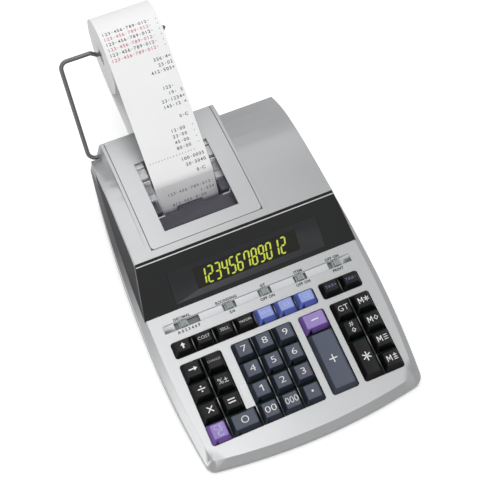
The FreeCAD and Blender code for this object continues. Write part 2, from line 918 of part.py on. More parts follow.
def tear_profile(offset):
    """Upper line of the tear cover as an arc, lowered by offset."""
    front = opening_front_y + tear_play
    rear = tear_edge_y - tear_flat
    return (
        V(0, front, tear_front_z - offset),
        V(0, (front + rear) / 2, tear_middle_z - offset),
        V(0, rear, tear_edge_z - offset),
    )


def tear_plate(x0, x1, y_end):
    a, b, c = tear_profile(0.0)
    d, e, f = tear_profile(tear_thickness)
    flat = V(0, y_end - c.y, 0)
    edges = [Part.Arc(a, b, c).toShape()]
    tail = [c, c + flat, f + flat, f]
    for start, end in zip(tail, tail[1:]):
        edges.append(Part.LineSegment(start, end).toShape())
    edges.append(Part.Arc(f, e, d).toShape())
    edges.append(Part.LineSegment(d, a).toShape())
    face = Part.Face(Part.Wire(edges))
    face.translate(V(x0, 0, 0))
    return face.extrude(V(x1 - x0, 0, 0))


def tear_cover():
    """Smoked plate with side walls, a flange under the printer cover, open ears and grip ribs."""
    left = hump_middle - opening_half_width + tear_play
    right = hump_middle + opening_half_width - tear_play
    front = opening_front_y + tear_play
    wall_rear = front + tear_thickness
    base = tear_front_z - tear_thickness
    under = below_hump(door_thickness + tear_seat)
    under_flange = below_hump(door_thickness + tear_thickness)
    pieces = [
        tear_plate(left, right, tear_edge_y),
        tear_plate(left, left + tear_ear_width, tear_ear_y),
        tear_plate(right - tear_ear_width, right, tear_ear_y),
    ]
    walls = (
        (left, front, left + tear_thickness, tear_ear_y),
        (right - tear_thickness, front, right, tear_ear_y),
        (left, front, right, wall_rear),
    )
    for x0, y0, x1, y1 in walls:
        pieces.append(box(x0, y0, base, x1, y1, FAR).common(under))
    reach = tear_flange + tear_play
    flanges = (
        (left - reach, front, left + tear_thickness, tear_ear_y),
        (right - tear_thickness, front, right + reach, tear_ear_y),
        (left, front - reach, right, wall_rear),
    )
    for x0, y0, x1, y1 in flanges:
        pieces.append(box(x0, y0, base, x1, y1, FAR).common(under).cut(under_flange))
    pitch = (right - left - 2 * grip_inset) / grip_ribs
    for i in range(grip_ribs):
        x = left + grip_inset + (i + 0.5) * pitch
        pieces.append(box(x - grip_rib_width / 2, wall_rear - SINK, tear_front_z,
                          x + grip_rib_width / 2, wall_rear + grip_rib_length, tear_front_z + grip_rib_rise))
    return joined(pieces).cut(tear_notches()).removeSplitter()


def tear_notches():
    """Row of vee notches along the tearing edge, with a slot between the ears for the paper."""
    pitch = paper_width / tear_teeth
    start = paper_middle - paper_width / 2
    points = []
    for i in range(tear_teeth):
        points.append(V(start + i * pitch, tear_edge_y, 0))
        points.append(V(start + (i + 0.5) * pitch, tear_edge_y - tear_tooth_depth, 0))
    points.append(V(start + paper_width, tear_edge_y, 0))
    points.append(V(start + paper_width, tear_edge_y + tear_slot, 0))
    points.append(V(start, tear_edge_y + tear_slot, 0))
    return polygon_face(points).extrude(V(0, 0, FAR))


# Paper, roll and arm


def roll_tangent(point, upper):
    """Where a line from the point touches the paper's path round the roll."""
    reach = roll_radius + paper_gap + paper_thickness / 2
    to_centre = V(0, roll_y, roll_z) - point
    distance = to_centre.Length
    angle = math.atan2(to_centre.z, to_centre.y)
    lean = math.asin(reach / distance)
    direction = angle + lean if upper else angle - lean
    run = math.sqrt(distance**2 - reach**2)
    return point + V(0, math.cos(direction), math.sin(direction)) * run


def paper_path():
    """Middle line of the sheet: roll, rear inlet, platen, tearing edge, and back over the roll."""
    reach = platen_radius + paper_gap + paper_thickness / 2
    inlet = V(0, hump_rear_y - inlet_inset, inlet_z)
    exit_point = V(0, tear_edge_y + exit_beyond, tear_edge_z + exit_above)
    platen = V(0, platen_y, platen_z)

    def platen_touch(point, sign):
        line = point - platen
        angle = math.atan2(line.z, line.y) + sign * math.acos(reach / line.Length)
        return platen + V(0, math.cos(angle), math.sin(angle)) * reach

    below = platen_touch(inlet, -1)
    before = platen_touch(exit_point, 1)
    front = platen + (below + before - platen * 2).normalize() * reach
    web_start = roll_tangent(inlet, False)
    over_start = roll_tangent(exit_point, True)
    centre = V(0, roll_y, roll_z)
    roll_reach = roll_radius + paper_gap + paper_thickness / 2

    def on_roll(degrees):
        a = math.radians(degrees)
        return centre + V(0, math.cos(a), math.sin(a)) * roll_reach

    entry = rounded_path([web_start, inlet, below], [inlet_bend]).Edges
    wrap = Part.Arc(below, front, before).toShape()
    rise = rounded_path([before, exit_point, over_start], [exit_bend]).Edges
    angle = math.degrees(math.atan2(over_start.z - roll_z, over_start.y - roll_y))
    middle = on_roll((angle + paper_tail_angle) / 2)
    tail = Part.Arc(over_start, middle, on_roll(paper_tail_angle)).toShape()
    return Part.Wire(entry + [wrap] + rise + [tail])


def paper_strip():
    path = paper_path()
    outline = path.makeOffset2D(paper_thickness / 2, 0, False, False)
    face = Part.Face(outline)
    face.translate(V(paper_middle - paper_width / 2, 0, 0))
    return face.extrude(V(paper_width, 0, 0))


def paper_roll():
    start = V(paper_middle - paper_width / 2, roll_y, roll_z)
    end = V(paper_middle + paper_width / 2, roll_y, roll_z)
    past = V(PAST, 0, 0)
    return rod(start, end, roll_radius).cut(rod(start - past, end + past, bore_radius))


def roll_arm():
    axis_z = roll_z + bore_radius - wire_radius - bore_contact_play
    left = paper_middle - paper_width / 2
    right = paper_middle + paper_width / 2
    points = [
        V(arm_inner_x, arm_y, arm_z),
        V(arm_out_x, arm_y, arm_z),
        V(arm_top_x, arm_top_y, arm_top_z),
        V(left - arm_kink_start, arm_top_y, arm_top_z),
        V(left - arm_kink_end, roll_y, axis_z),
        V(right + arm_end_start, roll_y, axis_z),
        V(right + arm_end_start + arm_end_length, roll_y + arm_end_lean, axis_z + arm_end_rise),
    ]
    radii = [arm_bend, arm_bend, arm_kink_bend, arm_kink_bend, arm_kink_bend]
    path = rounded_path(points, radii)
    turns = [2 * math.pi * (i + 0.5) / wire_sides for i in range(wire_sides)]
    section = [points[0] + V(0, math.cos(a), math.sin(a)) * wire_radius for a in turns]
    return path.makePipeShell([Part.makePolygon(section + section[:1])], True, False, 2)


# Printing mechanism


def platen_roller():
    middle = (frame_left + frame_right) / 2
    half = platen_length / 2
    roller = rod(V(middle - half, platen_y, platen_z), V(middle + half, platen_y, platen_z), platen_radius)
    shaft = rod(V(frame_left - shaft_end, platen_y, platen_z), V(frame_right + shaft_end, platen_y, platen_z),
                platen_shaft)
    return joined([roller, shaft])


def side_plates():
    return ((frame_left, frame_left + frame_plate), (frame_right - frame_plate, frame_right))


def printer_frame():
    """Base plate, side plates with the shaft's bores, carriage rod and rail, cheeks beside the paper."""
    z0 = frame_foot_z
    pieces = [box(frame_left, frame_front, z0, frame_right, frame_rear, z0 + frame_plate)]
    side_outline = (
        (frame_front, z0), (frame_rear, z0), (frame_rear, frame_shoulder_z),
        (frame_rear - frame_rear_slope, frame_top_z), (frame_front + frame_front_slope, frame_top_z),
        (frame_front, frame_shoulder_z),
    )
    bore = platen_shaft + hinge_play
    for x0, x1 in side_plates():
        side = slice_along_x(side_outline, x0, x1)
        pieces.append(side.cut(rod(V(x0 - PAST, platen_y, platen_z), V(x1 + PAST, platen_y, platen_z), bore)))
    left = frame_left + frame_plate
    right = frame_right - frame_plate
    pieces.append(rod(V(left, rod_y, rod_z), V(right, rod_y, rod_z), rod_radius))
    pieces.append(box(left, rail_y, rail_z, right, rail_y + rail_width, rail_z + rail_height))
    shield_front = frame_front + frame_front_slope
    pieces.append(box(left, shield_front, shield_z, right, shield_rear, shield_z + shield_thickness))
    for x0, x1 in ((left, left + cheek_width), (right - cheek_width, right)):
        pieces.append(slice_along_x(cheek_outline, x0, x1))
    pieces.append(slice_along_x(guide_outline, left, right))
    return joined(pieces)


def print_carriage():
    """Print head on its rod, with a slot in front that rides on the rail."""
    middle = (frame_left + frame_right) / 2
    x0, x1 = middle - carriage_width / 2, middle + carriage_width / 2
    body = slice_along_x(carriage_outline, x0, x1)
    body = body.cut(rod(V(x0 - PAST, rod_y, rod_z), V(x1 + PAST, rod_y, rod_z), rod_radius + hinge_play))
    slot = box(x0 - PAST, carriage_front - PAST, rail_z - rail_play,
               x1 + PAST, rail_y + rail_width + rail_play, rail_z + rail_height + rail_play)
    return body.cut(slot)


def main():
    parts = {"key_" + name: key_cap(cell) for name, cell in key_layout().items()}
    for name, _, _, position in switch_windows():
        parts["switch_" + name] = switch_knob(position)
    parts["keypad_board"] = keypad_board()
    parts["bottom_case"] = bottom_case()
    parts["display_panel"] = display_panel()
    parts["display_module"] = display_module()
    parts["side_panels"] = side_panels()
    parts["rear_cover"] = rear_cover()
    parts["top_case"] = top_case().cut(parts["rear_cover"])
    parts["printer_cover"] = printer_cover()
    parts["tear_cover"] = tear_cover()
    parts["printer_frame"] = printer_frame()
    parts["print_carriage"] = print_carriage()
    parts["platen_roller"] = platen_roller()
    parts["paper_roll"] = paper_roll()
    parts["paper_strip"] = paper_strip()
    parts["roll_arm"] = roll_arm()
    parts["rubber_feet"] = rubber_feet()
    os.makedirs("parts", exist_ok=True)
    for name, shape in parts.items():
        shape.translate(V(0, -centre_y, 0))
        shape.exportStep("parts/" + name + ".step")
        print(name, shape.isValid(), len(shape.Solids), round(shape.Volume))
    print("centre_y", centre_y, "pieces", len(parts))


main()
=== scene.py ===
import math

import bmesh
import bpy
from mathutils import Matrix, Vector
from mathutils.bvhtree import BVHTree


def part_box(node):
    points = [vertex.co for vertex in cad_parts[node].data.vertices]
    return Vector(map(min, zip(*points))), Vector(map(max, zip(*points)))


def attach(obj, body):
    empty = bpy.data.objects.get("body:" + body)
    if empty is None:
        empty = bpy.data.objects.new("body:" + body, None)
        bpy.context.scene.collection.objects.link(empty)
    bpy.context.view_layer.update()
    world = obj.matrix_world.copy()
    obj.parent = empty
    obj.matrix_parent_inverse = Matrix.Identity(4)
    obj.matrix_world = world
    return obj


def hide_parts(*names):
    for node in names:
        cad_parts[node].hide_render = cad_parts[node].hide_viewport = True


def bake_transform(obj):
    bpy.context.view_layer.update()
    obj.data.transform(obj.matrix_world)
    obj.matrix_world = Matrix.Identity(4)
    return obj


# A printing desk calculator: finishes, key caps, legends, paper, wound roll and small fittings round the
# CAD pieces. Lengths are millimetres as in the part's source, until a mesh is placed in the frame.

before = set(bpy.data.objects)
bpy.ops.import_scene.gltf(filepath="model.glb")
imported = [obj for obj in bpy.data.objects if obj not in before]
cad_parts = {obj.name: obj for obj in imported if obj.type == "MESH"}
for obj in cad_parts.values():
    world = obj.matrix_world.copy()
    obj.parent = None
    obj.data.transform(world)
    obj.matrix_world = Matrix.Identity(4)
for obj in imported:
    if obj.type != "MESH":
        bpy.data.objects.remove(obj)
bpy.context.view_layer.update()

MM = 0.001
middle_y = 57.975
deck_height = 36.3
deck_tilt = math.radians(8.3)
panel_top = 72.1
panel_depth = 37.4
panel_tilt = math.atan2(panel_top - deck_height, panel_depth)
on_row = Matrix.Scale(MM, 4) @ Matrix.Translation((0, -middle_y, 0))
on_deck = on_row @ Matrix.Translation((0, 0, deck_height)) @ Matrix.Rotation(deck_tilt, 4, "X")
on_panel = on_row @ Matrix.Translation((0, 0, deck_height)) @ Matrix.Rotation(panel_tilt, 4, "X")

# Keys
pitch_u = 19.7
pitch_v = 19.15
key_gap = 1.5
edge_gap = 0.5
key_top = 6.6
key_skirt = 3.2
key_shoulder = 0.4
key_corner = 1.1
key_rim = 0.55
key_side_slope = 3.1
key_front_slope = 3.7
key_rear_slope = 1.9
dish_depth = 0.3
dish_cuts = 5
print_lift = 0.03
pad_v = 48.2
top_row_v = 27.0
top_row_depth = 15.4
left_pad_u = -91.0
number_pad_u = -43.2
column_u = 22.0
column_width = 25.3
right_pad_u = 52.9
tax_u = 51.6

# Cases
seam_height = 22.3
seam_slope = 0.106
deck_half_width = 94.0
well_rear = 24.0
well_front = 128.0
groove_rear = 10.1
groove_front = 17.3
silver_metal = 0.62

# Printer
hump_middle = -23.5
hump_half_width = 56.5
door_half_width = 53.25
door_front_y = 44.5
paper_width = 57.0
paper_middle = -22.3
paper_half = 0.125
paper_left = paper_middle - paper_width / 2
paper_right = paper_middle + paper_width / 2
tear_point = Vector((0, 104.8, 72.2))
platen_point = Vector((0, 92.81, 48.37))
strip_split = Vector((0, 101.5, 44.6))
strip_split_slope = Vector((0, -0.49, 1))
strip_slice = 4.0
sheet_clearance = 3.0
roll_centre = Vector((0, 228.0, 118.7))
roll_radius = 35.4
roll_reach = roll_radius + 0.3 + paper_half
bore_radius = 7.5
wire_radius = 2.0
wire_gap = 0.15


# Shader sums


def tone(red, green, blue):
    """Colour given as seen on a screen, 0 to 255, as the shader's linear values."""
    def linear(c):
        c = c / 255
        return c / 12.92 if c <= 0.04045 else ((c + 0.055) / 1.055) ** 2.4

    return (linear(red), linear(green), linear(blue), 1.0)


class Socket:
    """An output of a material's node. Sums and products on it add Math nodes."""

    def __init__(self, finish, socket):
        self.finish = finish
        self.socket = socket

    def math(self, operation, first, second=0.0, clamp=False):
        settings = {"operation": operation, "use_clamp": clamp}
        return self.finish.node("Math", settings, {0: first, 1: second})

    def __add__(self, other):
        return self.math("ADD", self, other)

    def __sub__(self, other):
        return self.math("SUBTRACT", self, other)

    def __mul__(self, other):
        return self.math("MULTIPLY", self, other)

    def __truediv__(self, other):
        return self.math("DIVIDE", self, other)

    def __pow__(self, other):
        return self.math("POWER", self, other)

    def absolute(self):
        return self.math("ABSOLUTE", self)

    def wave(self):
        return self.math("SINE", self)

    def limited(self):
        return self.math("ADD", self, 0.0, clamp=True)

    def within(self, low, high, soft):
        """1 between low and high, and 0 outside, with edges as wide as soft."""
        rise = self.finish.ramp(self, low - soft / 2, low + soft / 2)
        return rise * self.finish.fall(self, high - soft / 2, high + soft / 2)


class Finish:
    """A material with one Principled shader, and the nodes that vary it over the surface."""

    def __init__(self, name, **constants):
        self.material = bpy.data.materials.new(name)
        self.material.use_nodes = True
        self.tree = self.material.node_tree
        self.tree.nodes.clear()
        self.shader = self.tree.nodes.new("ShaderNodeBsdfPrincipled")
        output = self.tree.nodes.new("ShaderNodeOutputMaterial")
        self.tree.links.new(self.shader.outputs[0], output.inputs[0])
        self.drive(**constants)

    def drive(self, **sockets):
        """Sets or links the shader's sockets, named with _ for a space."""
        for name, value in sockets.items():
            self.feed(self.shader.inputs[name.replace("_", " ")], value)

    def feed(self, socket, value):
        if isinstance(value, Socket):
            self.tree.links.new(value.socket, socket)
        else:
            socket.default_value = value

    def node(self, kind, settings, inputs, output=0):
        made = self.tree.nodes.new("ShaderNode" + kind)
        for name, value in settings.items():
            setattr(made, name, value)
        for name, value in inputs.items():
            self.feed(made.inputs[name], value)
        return Socket(self, made.outputs[output])

    def place(self):
        """Object coordinates in metres."""
        return self.node("TexCoord", {}, {}, "Object")

    def axes(self, vector):
        made = self.tree.nodes.new("ShaderNodeSeparateXYZ")
        self.feed(made.inputs[0], vector)
        return [Socket(self, made.outputs[i]) for i in range(3)]

    def row_axes(self):
        """Place in the part's source, in millimetres."""
        x, y, z = self.axes(self.place())
        return x / MM, y / MM + middle_y, z / MM

    def deck_axes(self):
        """Place on the deck in millimetres: to the right, to the front and up."""
        x, y, z = self.row_axes()
        z = z - deck_height
        front = y * -math.cos(deck_tilt) - z * math.sin(deck_tilt)
        return x, front, z * math.cos(deck_tilt) - y * math.sin(deck_tilt)

    def noise(self, scale, detail=2.0, rough=0.5, stretch=None):
        vector = self.place()
        if stretch:
            vector = self.node("Mapping", {}, {"Vector": vector, "Scale": stretch})
        inputs = {"Vector": vector, "Scale": scale, "Detail": detail, "Roughness": rough}
        return self.node("TexNoise", {}, inputs, "Fac")

    def ramp(self, value, low, high, out_low=0.0, out_high=1.0):
        inputs = {"Value": value, "From Min": low, "From Max": high, "To Min": out_low, "To Max": out_high}
        return self.node("MapRange", {}, inputs)

    def fall(self, value, low, high):
        """1 up to low, then down to 0 at high."""
        return self.ramp(value, low, high, 1.0, 0.0)

    def blend(self, factor, first, second):
        """Colour between first and second."""
        return self.node("Mix", {"data_type": "RGBA"}, {0: factor, 6: first, 7: second}, 2)

    def tint(self, colour, value, amount):
        """Colour made darker and lighter by amount, as value goes from 0 to 1."""
        scale = value * (2 * amount) + (1 - amount)
        if not isinstance(colour, Socket):
            colour = colour[:3]
        return self.node("VectorMath", {"operation": "SCALE"}, {0: colour, "Scale": scale})

    def relief(self, height, distance, strength=1.0, under=None):
        inputs = {"Height": height, "Distance": distance, "Strength": strength}
        if under is not None:
            inputs["Normal"] = under
        return self.node("Bump", {}, inputs)

    def soft_edges(self, radius):
        return self.node("Bevel", {"samples": 4}, {"Radius": radius})


def moulded(name, colour, rough=0.45, spread=0.06, grain=2600.0, depth=0.00002, metal=0.0, patch=0.05,
            gloss=0.3):
    """Moulded plastic: fine grain, slight changes of colour and gloss, and softly rounded edges."""
    made = Finish(name, Metallic=metal, Specular_IOR_Level=gloss)
    fine = made.noise(grain, 3.0, 0.6)
    wide = made.noise(14.0, 3.0, 0.55)
    made.paint = made.tint(colour, wide * 0.6 + fine * 0.4, patch)
    made.drive(Base_Color=made.paint)
    made.drive(Roughness=made.ramp(wide + fine * 0.5, 0.4, 1.1, rough - spread, rough + spread))
    made.drive(Normal=made.relief(fine, depth, 1.0, made.soft_edges(0.0004)))
    return made


def lettering(name, colour):
    """Smooth, even print or paint."""
    return moulded(name, colour, 0.5, depth=0.000004, patch=0.02)


# Drawing


def mesh_of(shape, name, place=None, smooth_angle=None):
    """Moves a shape to its place and makes it a mesh, smooth below an angle in degrees if one is given."""
    if place is not None:
        bmesh.ops.transform(shape, matrix=place, verts=shape.verts)
    mesh = bpy.data.meshes.new(name)
    shape.to_mesh(mesh)
    shape.free()
    if smooth_angle is not None:
        mesh.polygons.foreach_set("use_smooth", [True] * len(mesh.polygons))
        mesh.set_sharp_from_angle(angle=math.radians(smooth_angle))
    return mesh


def new_piece(name, shape, finish, body, place=None, smooth_angle=None):
    """Puts a shape in the scene as a piece with its finish, riding on a body if one is given."""
    mesh = mesh_of(shape, name, place, smooth_angle)
    mesh.materials.clear()
    mesh.materials.append(finishes[finish].material)
    piece = bpy.data.objects.new(name, mesh)
    bpy.context.scene.collection.objects.link(piece)
    if body:
        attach(piece, body)
    return piece


def mesh_from(curve):
    """Makes a mesh of a curve or a text, and removes the curve."""
    holder = bpy.data.objects.new(curve.name, curve)
    bpy.context.scene.collection.objects.link(holder)
    mesh = bpy.data.meshes.new_from_object(holder.evaluated_get(bpy.context.evaluated_depsgraph_get()))
    bpy.data.objects.remove(holder)
    bpy.data.curves.remove(curve)
    return mesh


def merged_copy(node):
    """The node's mesh with its loose triangles joined, as a shape in metres."""
    shape = bmesh.new()
    shape.from_mesh(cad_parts[node].data)
    bmesh.ops.remove_doubles(shape, verts=shape.verts, dist=0.000002)
    return shape


def add_box(shape, low, high):
    centre = [(a + b) / 2 for a, b in zip(low, high)]
    size = [b - a for a, b in zip(low, high)]
    bmesh.ops.create_cube(shape, size=1, matrix=Matrix.Translation(centre) @ Matrix.Diagonal((*size, 1)))


def extruded(shape, face):
    """Extrudes a face and returns the vertices to move."""
    grown = bmesh.ops.extrude_face_region(shape, geom=[face])["geom"]
    return [g for g in grown if isinstance(g, bmesh.types.BMVert)]


def cut_across(shape, place, direction, near, **settings):
    """Cuts a whole shape by a plane."""
    geometry = [*shape.verts, *shape.edges, *shape.faces]
    return bmesh.ops.bisect_plane(shape, geom=geometry, dist=near, plane_co=place, plane_no=direction,
                                  **settings)


def edges_along(shape, axis, least):
    """Edges whose ends lie further apart than least along an axis, x, y or z."""
    return [e for e in shape.edges if abs(getattr(e.verts[0].co - e.verts[1].co, axis)) > least]


def round_edges(shape, edges, offset, segments):
    bmesh.ops.bevel(shape, geom=edges, affect="EDGES", offset=offset, segments=segments, profile=0.5,
                    material=-1)


def spun(shape, profile, centre, steps):
    """Turns a closed profile of (x, radius) points about the X axis through the centre."""
    verts = [shape.verts.new((x, centre.y, centre.z + r)) for x, r in profile]
    edges = [shape.edges.new(pair) for pair in zip(verts, verts[1:] + verts[:1])]
    bmesh.ops.spin(shape, geom=verts + edges, cent=centre, axis=(1, 0, 0), angle=2 * math.pi, steps=steps,
                   use_merge=True)
    bmesh.ops.remove_doubles(shape, verts=shape.verts, dist=0.0001)
    bmesh.ops.recalc_face_normals(shape, faces=shape.faces)


digit_share = 0.70  # a digit's height as a share of the font's size
glyphs = {}


def glyph(words, height, weight, spacing):
    """Flat letters centred on the origin, with digits of the given height, kept for reuse."""
    key = (words, height, weight, spacing)
    if key not in glyphs:
        curve = bpy.data.curves.new("letters", "FONT")
        curve.body = words
        curve.size = height / digit_share
        curve.space_character = spacing
        curve.resolution_u = 3
        curve.offset = weight
        curve.extrude = 0.02
        mesh = mesh_from(curve)
        xs = [v.co.x for v in mesh.vertices]
        ys = [v.co.y for v in mesh.vertices]
        mesh.transform(Matrix.Translation((-(min(xs) + max(xs)) / 2, -(min(ys) + max(ys)) / 2, 0)))
        glyphs[key] = mesh
    return glyphs[key].copy()


def letters(shape, words, height, u, v, wide=1.0, lift=0.0, weight=0.0, spacing=1.0):
    """Adds words to a shape drawn in millimetres, centred at (u, v)."""
    mesh = glyph(words, height, weight, spacing)
    mesh.transform(Matrix.Translation((u, v, lift)) @ Matrix.Diagonal((wide, 1, 1, 1)))
    shape.from_mesh(mesh)
    bpy.data.meshes.remove(mesh)


def plate(shape, outline, thickness=0.04):
    """Adds a thin flat shape with the given outline of (x, y) points."""
    face = shape.faces.new([shape.verts.new((x, y, 0)) for x, y in outline])
    face.normal_update()
    if face.normal.z > 0:
        face.normal_flip()
    bmesh.ops.translate(shape, vec=(0, 0, thickness), verts=extruded(shape, face))


# Camera, light and floor


LAMPS = (
    # name, power in watts, width, depth, place and aim in metres
    ("window_light", 4.0, 0.7, 0.5, (-1.4, -0.2, 0.32), (-0.1, -0.15, 0.03)),
    ("main_light", 11.5, 1.4, 1.4, (-0.3, -0.6, 1.9), (0, 0, 0.03)),
    ("ceiling_light", 3.8, 1.2, 1.0, (0.7, -0.05, 2.2), (0.7, -0.05, 0)),
    ("front_light", 5.0, 1.6, 1.2, (0.0, -1.6, 1.2), (0, 0, 0.03)),
    ("cover_softbox", 0.8, 0.4, 0.35, (0.38, 0.86, 1.25), (0.38, 0.86, 0)),
    ("long_softbox", 5.6, 0.5, 1.7, (-0.09, 0.56, 1.25), (-0.09, 0.56, 0)),
    ("rear_softbox", 2.1, 0.55, 0.55, (0.05, 1.6, 0.72), (-0.05, 0.05, 0.08)),
)
floor_half_width = 3.0


def place_camera(scene):
    lens = bpy.data.cameras.new("camera")
    lens.sensor_width = 36.0
    lens.lens = 79.144
    camera = bpy.data.objects.new("camera", lens)
    turn = Matrix(((0.9160888, 0.35321489, -0.18979081),
                   (-0.40080413, 0.79279334, -0.45916747),
                   (-0.0117199, 0.49670712, 0.86783909)))
    camera.matrix_world = Matrix.Translation((-0.177426, -0.459897, 0.876146)) @ turn.to_4x4()
    scene.collection.objects.link(camera)
    scene.camera = camera


def hang_lamps(scene):
    for name, power, wide, deep, at, aim in LAMPS:
        lamp = bpy.data.lights.new(name, "AREA")
        lamp.shape = "RECTANGLE"
        lamp.energy = power
        lamp.size = wide
        lamp.size_y = deep
        holder = bpy.data.objects.new(name, lamp)
        turn = (Vector(at) - Vector(aim)).to_track_quat("Z", "Y")
        holder.matrix_world = Matrix.Translation(at) @ turn.to_matrix().to_4x4()
        scene.collection.objects.link(holder)


def light_world(scene):
    """White where it is seen or mirrored, and dimmer where it lights the object."""
    world = bpy.data.worlds.new("studio")
    world.use_nodes = True
    scene.world = world
    tree = world.node_tree
    tree.nodes.clear()
    output = tree.nodes.new("ShaderNodeOutputWorld")
    mix = tree.nodes.new("ShaderNodeMixShader")
    for i, strength in ((1, 0.3), (2, 1.0)):
        background = tree.nodes.new("ShaderNodeBackground")
        background.inputs["Color"].default_value = (1, 1, 1, 1)
        background.inputs["Strength"].default_value = strength
        tree.links.new(background.outputs[0], mix.inputs[i])
    rays = tree.nodes.new("ShaderNodeLightPath")
    seen = rays.outputs["Is Camera Ray"]
    for name in ("Is Glossy Ray", "Is Transmission Ray"):
        either = tree.nodes.new("ShaderNodeMath")
        either.operation = "MAXIMUM"
        tree.links.new(seen, either.inputs[0])
        tree.links.new(rays.outputs[name], either.inputs[1])
        seen = either.outputs[0]
    tree.links.new(seen, mix.inputs[0])
    tree.links.new(mix.outputs[0], output.inputs[0])


def set_stage():
    scene = bpy.context.scene
    scene.view_settings.view_transform = "Standard"
    place_camera(scene)
    hang_lamps(scene)
    light_world(scene)


def lay_floor():
    """A pale floor that also glows a little where it is seen, so that it comes out white."""
    shape = bmesh.new()
    bmesh.ops.create_grid(shape, x_segments=1, y_segments=1, size=floor_half_width)
    mesh = mesh_of(shape, "floor")
    floor = bpy.data.objects.new("floor", mesh)
    bpy.context.scene.collection.objects.link(floor)
    made = Finish("floor_white", Roughness=0.9, Specular_IOR_Level=0.1, Emission_Strength=1.0)
    speckle = made.noise(30.0, 2.0)
    made.drive(Base_Color=made.blend(speckle, (0.80, 0.80, 0.80, 1), (0.84, 0.84, 0.84, 1)))
    rays = made.tree.nodes.new("ShaderNodeLightPath")
    camera, glossy, clear = (Socket(made, rays.outputs[name])
                             for name in ("Is Camera Ray", "Is Glossy Ray", "Is Transmission Ray"))
    glow = (camera + glossy + clear).limited()
    made.drive(Emission_Color=made.blend(glow, (0, 0, 0, 1), (0.38, 0.38, 0.38, 1)))
    mesh.materials.append(made.material)


# Finishes


def silver_shell(name, base):
    """Satin silver paint on moulded plastic."""
    made = Finish(name, Metallic=silver_metal, Specular_IOR_Level=0.4)
    flake = made.noise(5200.0, 2.0, 0.7)
    wide = made.noise(9.0, 2.0, 0.5)
    made.paint = made.tint(base, flake * 0.6 + wide * 0.4, 0.05)
    made.sheen = made.ramp(wide + flake * 0.6, 0.5, 1.1, 0.28, 0.38)
    made.drive(Base_Color=made.paint, Roughness=made.sheen)
    made.drive(Normal=made.relief(flake, 0.000008, 1.0, made.soft_edges(0.0005)))
    return made


def case_silver(base):
    """The top case: silver outside, lighter in the switch groove, with painted shade inside the key wells
    and on the ribs between the keys.

    The shoulders carry a painted dark reflection that deepens towards the rear, and the lower edge
    carries a painted shadow along the seam."""
    made = silver_shell("case_silver", base)
    across, front, up = made.deck_axes()
    beside = made.fall(across.absolute(), deck_half_width - 0.5, deck_half_width + 0.5)
    along = front.within(well_rear, well_front, 0.5)
    rows = (front - pad_v) / pitch_v
    between = (rows - made.node("Math", {"operation": "FLOOR"}, {0: rows})).within(0.4, 2.0, 0.3)
    # Painted shade: near black inside the key wells, and on the ribs between keys except their rear part,
    # where the neighbouring keys' shadow falls.
    well_shade = made.fall(up, -1.6, -1.0)
    rib_shade = made.fall(up, -0.62, -0.55) * between * 0.8
    dark = (well_shade + rib_shade).limited() * beside * along
    groove = front.within(groove_rear, groove_front, 0.1) * beside * made.fall(up, -0.9, -0.7)
    colour = made.blend(groove, made.paint, tone(158, 160, 163))
    x, y, z = made.row_axes()
    # Painted shadow: a dark band along the top case's lower edge at the seam to the bottom case.
    seam = made.fall(z - y * seam_slope - seam_height, 1.1, 1.5)
    # Painted dark reflection: the silver shoulders beside the deck darken towards the rear.
    slope = made.ramp(up, -6.6, -5.8) * made.ramp(x.absolute(), deck_half_width + 0.1, deck_half_width + 0.9)
    shoulder_shade = slope * made.ramp(y, 6.0, 76.0)
    colour = made.blend(shoulder_shade * 0.93, colour, tone(70, 70, 72))
    colour = made.blend(seam, colour, tone(46, 46, 48))
    made.drive(Base_Color=made.blend(dark, colour, tone(20, 20, 23)))
    made.drive(Metallic=(dark + shoulder_shade + seam).limited() * -silver_metal + silver_metal)
    made.drive(Roughness=dark * 0.3 + made.sheen)
    return made


def cover_silver(base):
    """The rear cover: its seat under the printer cover is painted dark as shadow, which shows as the door's
    seam.
    """
    made = silver_shell("cover_silver", base)
    x, y, _ = made.row_axes()
    across = made.fall((x - hump_middle).absolute(), door_half_width + 0.02, door_half_width + 0.08)
    # Painted shadow on the seat under the door's edges, dark and not metallic.
    inside = across * made.ramp(y, door_front_y - 0.08, door_front_y - 0.02)
    made.drive(Base_Color=made.blend(inside, made.paint, tone(48, 48, 50)))
    made.drive(Metallic=inside * -silver_metal + silver_metal)
    return made


def door_silver(base):
    """The printer cover, with a painted shade line where its edge turns down into the seam."""
    made = silver_shell("door_silver", base)
    x, y, _ = made.row_axes()
    # Painted shade along the side edges and the front edge, where they turn down.
    edge = made.ramp((x - hump_middle).absolute(), door_half_width - 0.62, door_half_width - 0.42)
    front = made.fall(y, door_front_y + 0.42, door_front_y + 0.62)
    made.drive(Base_Color=made.blend((edge + front).limited(), made.paint, tone(92, 92, 94)))
    return made


def key_plastic_painted_shade(name, top, side):
    """A key's plastic: satin, lighter on the dished top, with painted shade making the skirt and the sloping
    sides darker.
    """
    made = Finish(name, Specular_IOR_Level=0.13)
    fine = made.noise(2200.0, 3.0, 0.6)
    wide = made.noise(45.0, 2.0, 0.5)
    _, _, up = made.deck_axes()
    # Painted shade: below the dished top the colour goes over to the darker side colour.
    face = made.ramp(up, key_top - dish_depth - 0.75, key_top - dish_depth - 0.25)
    made.drive(Base_Color=made.tint(made.blend(face, side, top), wide * 0.5 + fine * 0.5, 0.08))
    made.drive(Roughness=made.ramp(wide + fine * 0.5, 0.4, 1.1, 0.35, 0.47))
    made.drive(Normal=made.relief(fine, 0.00002))
    return made


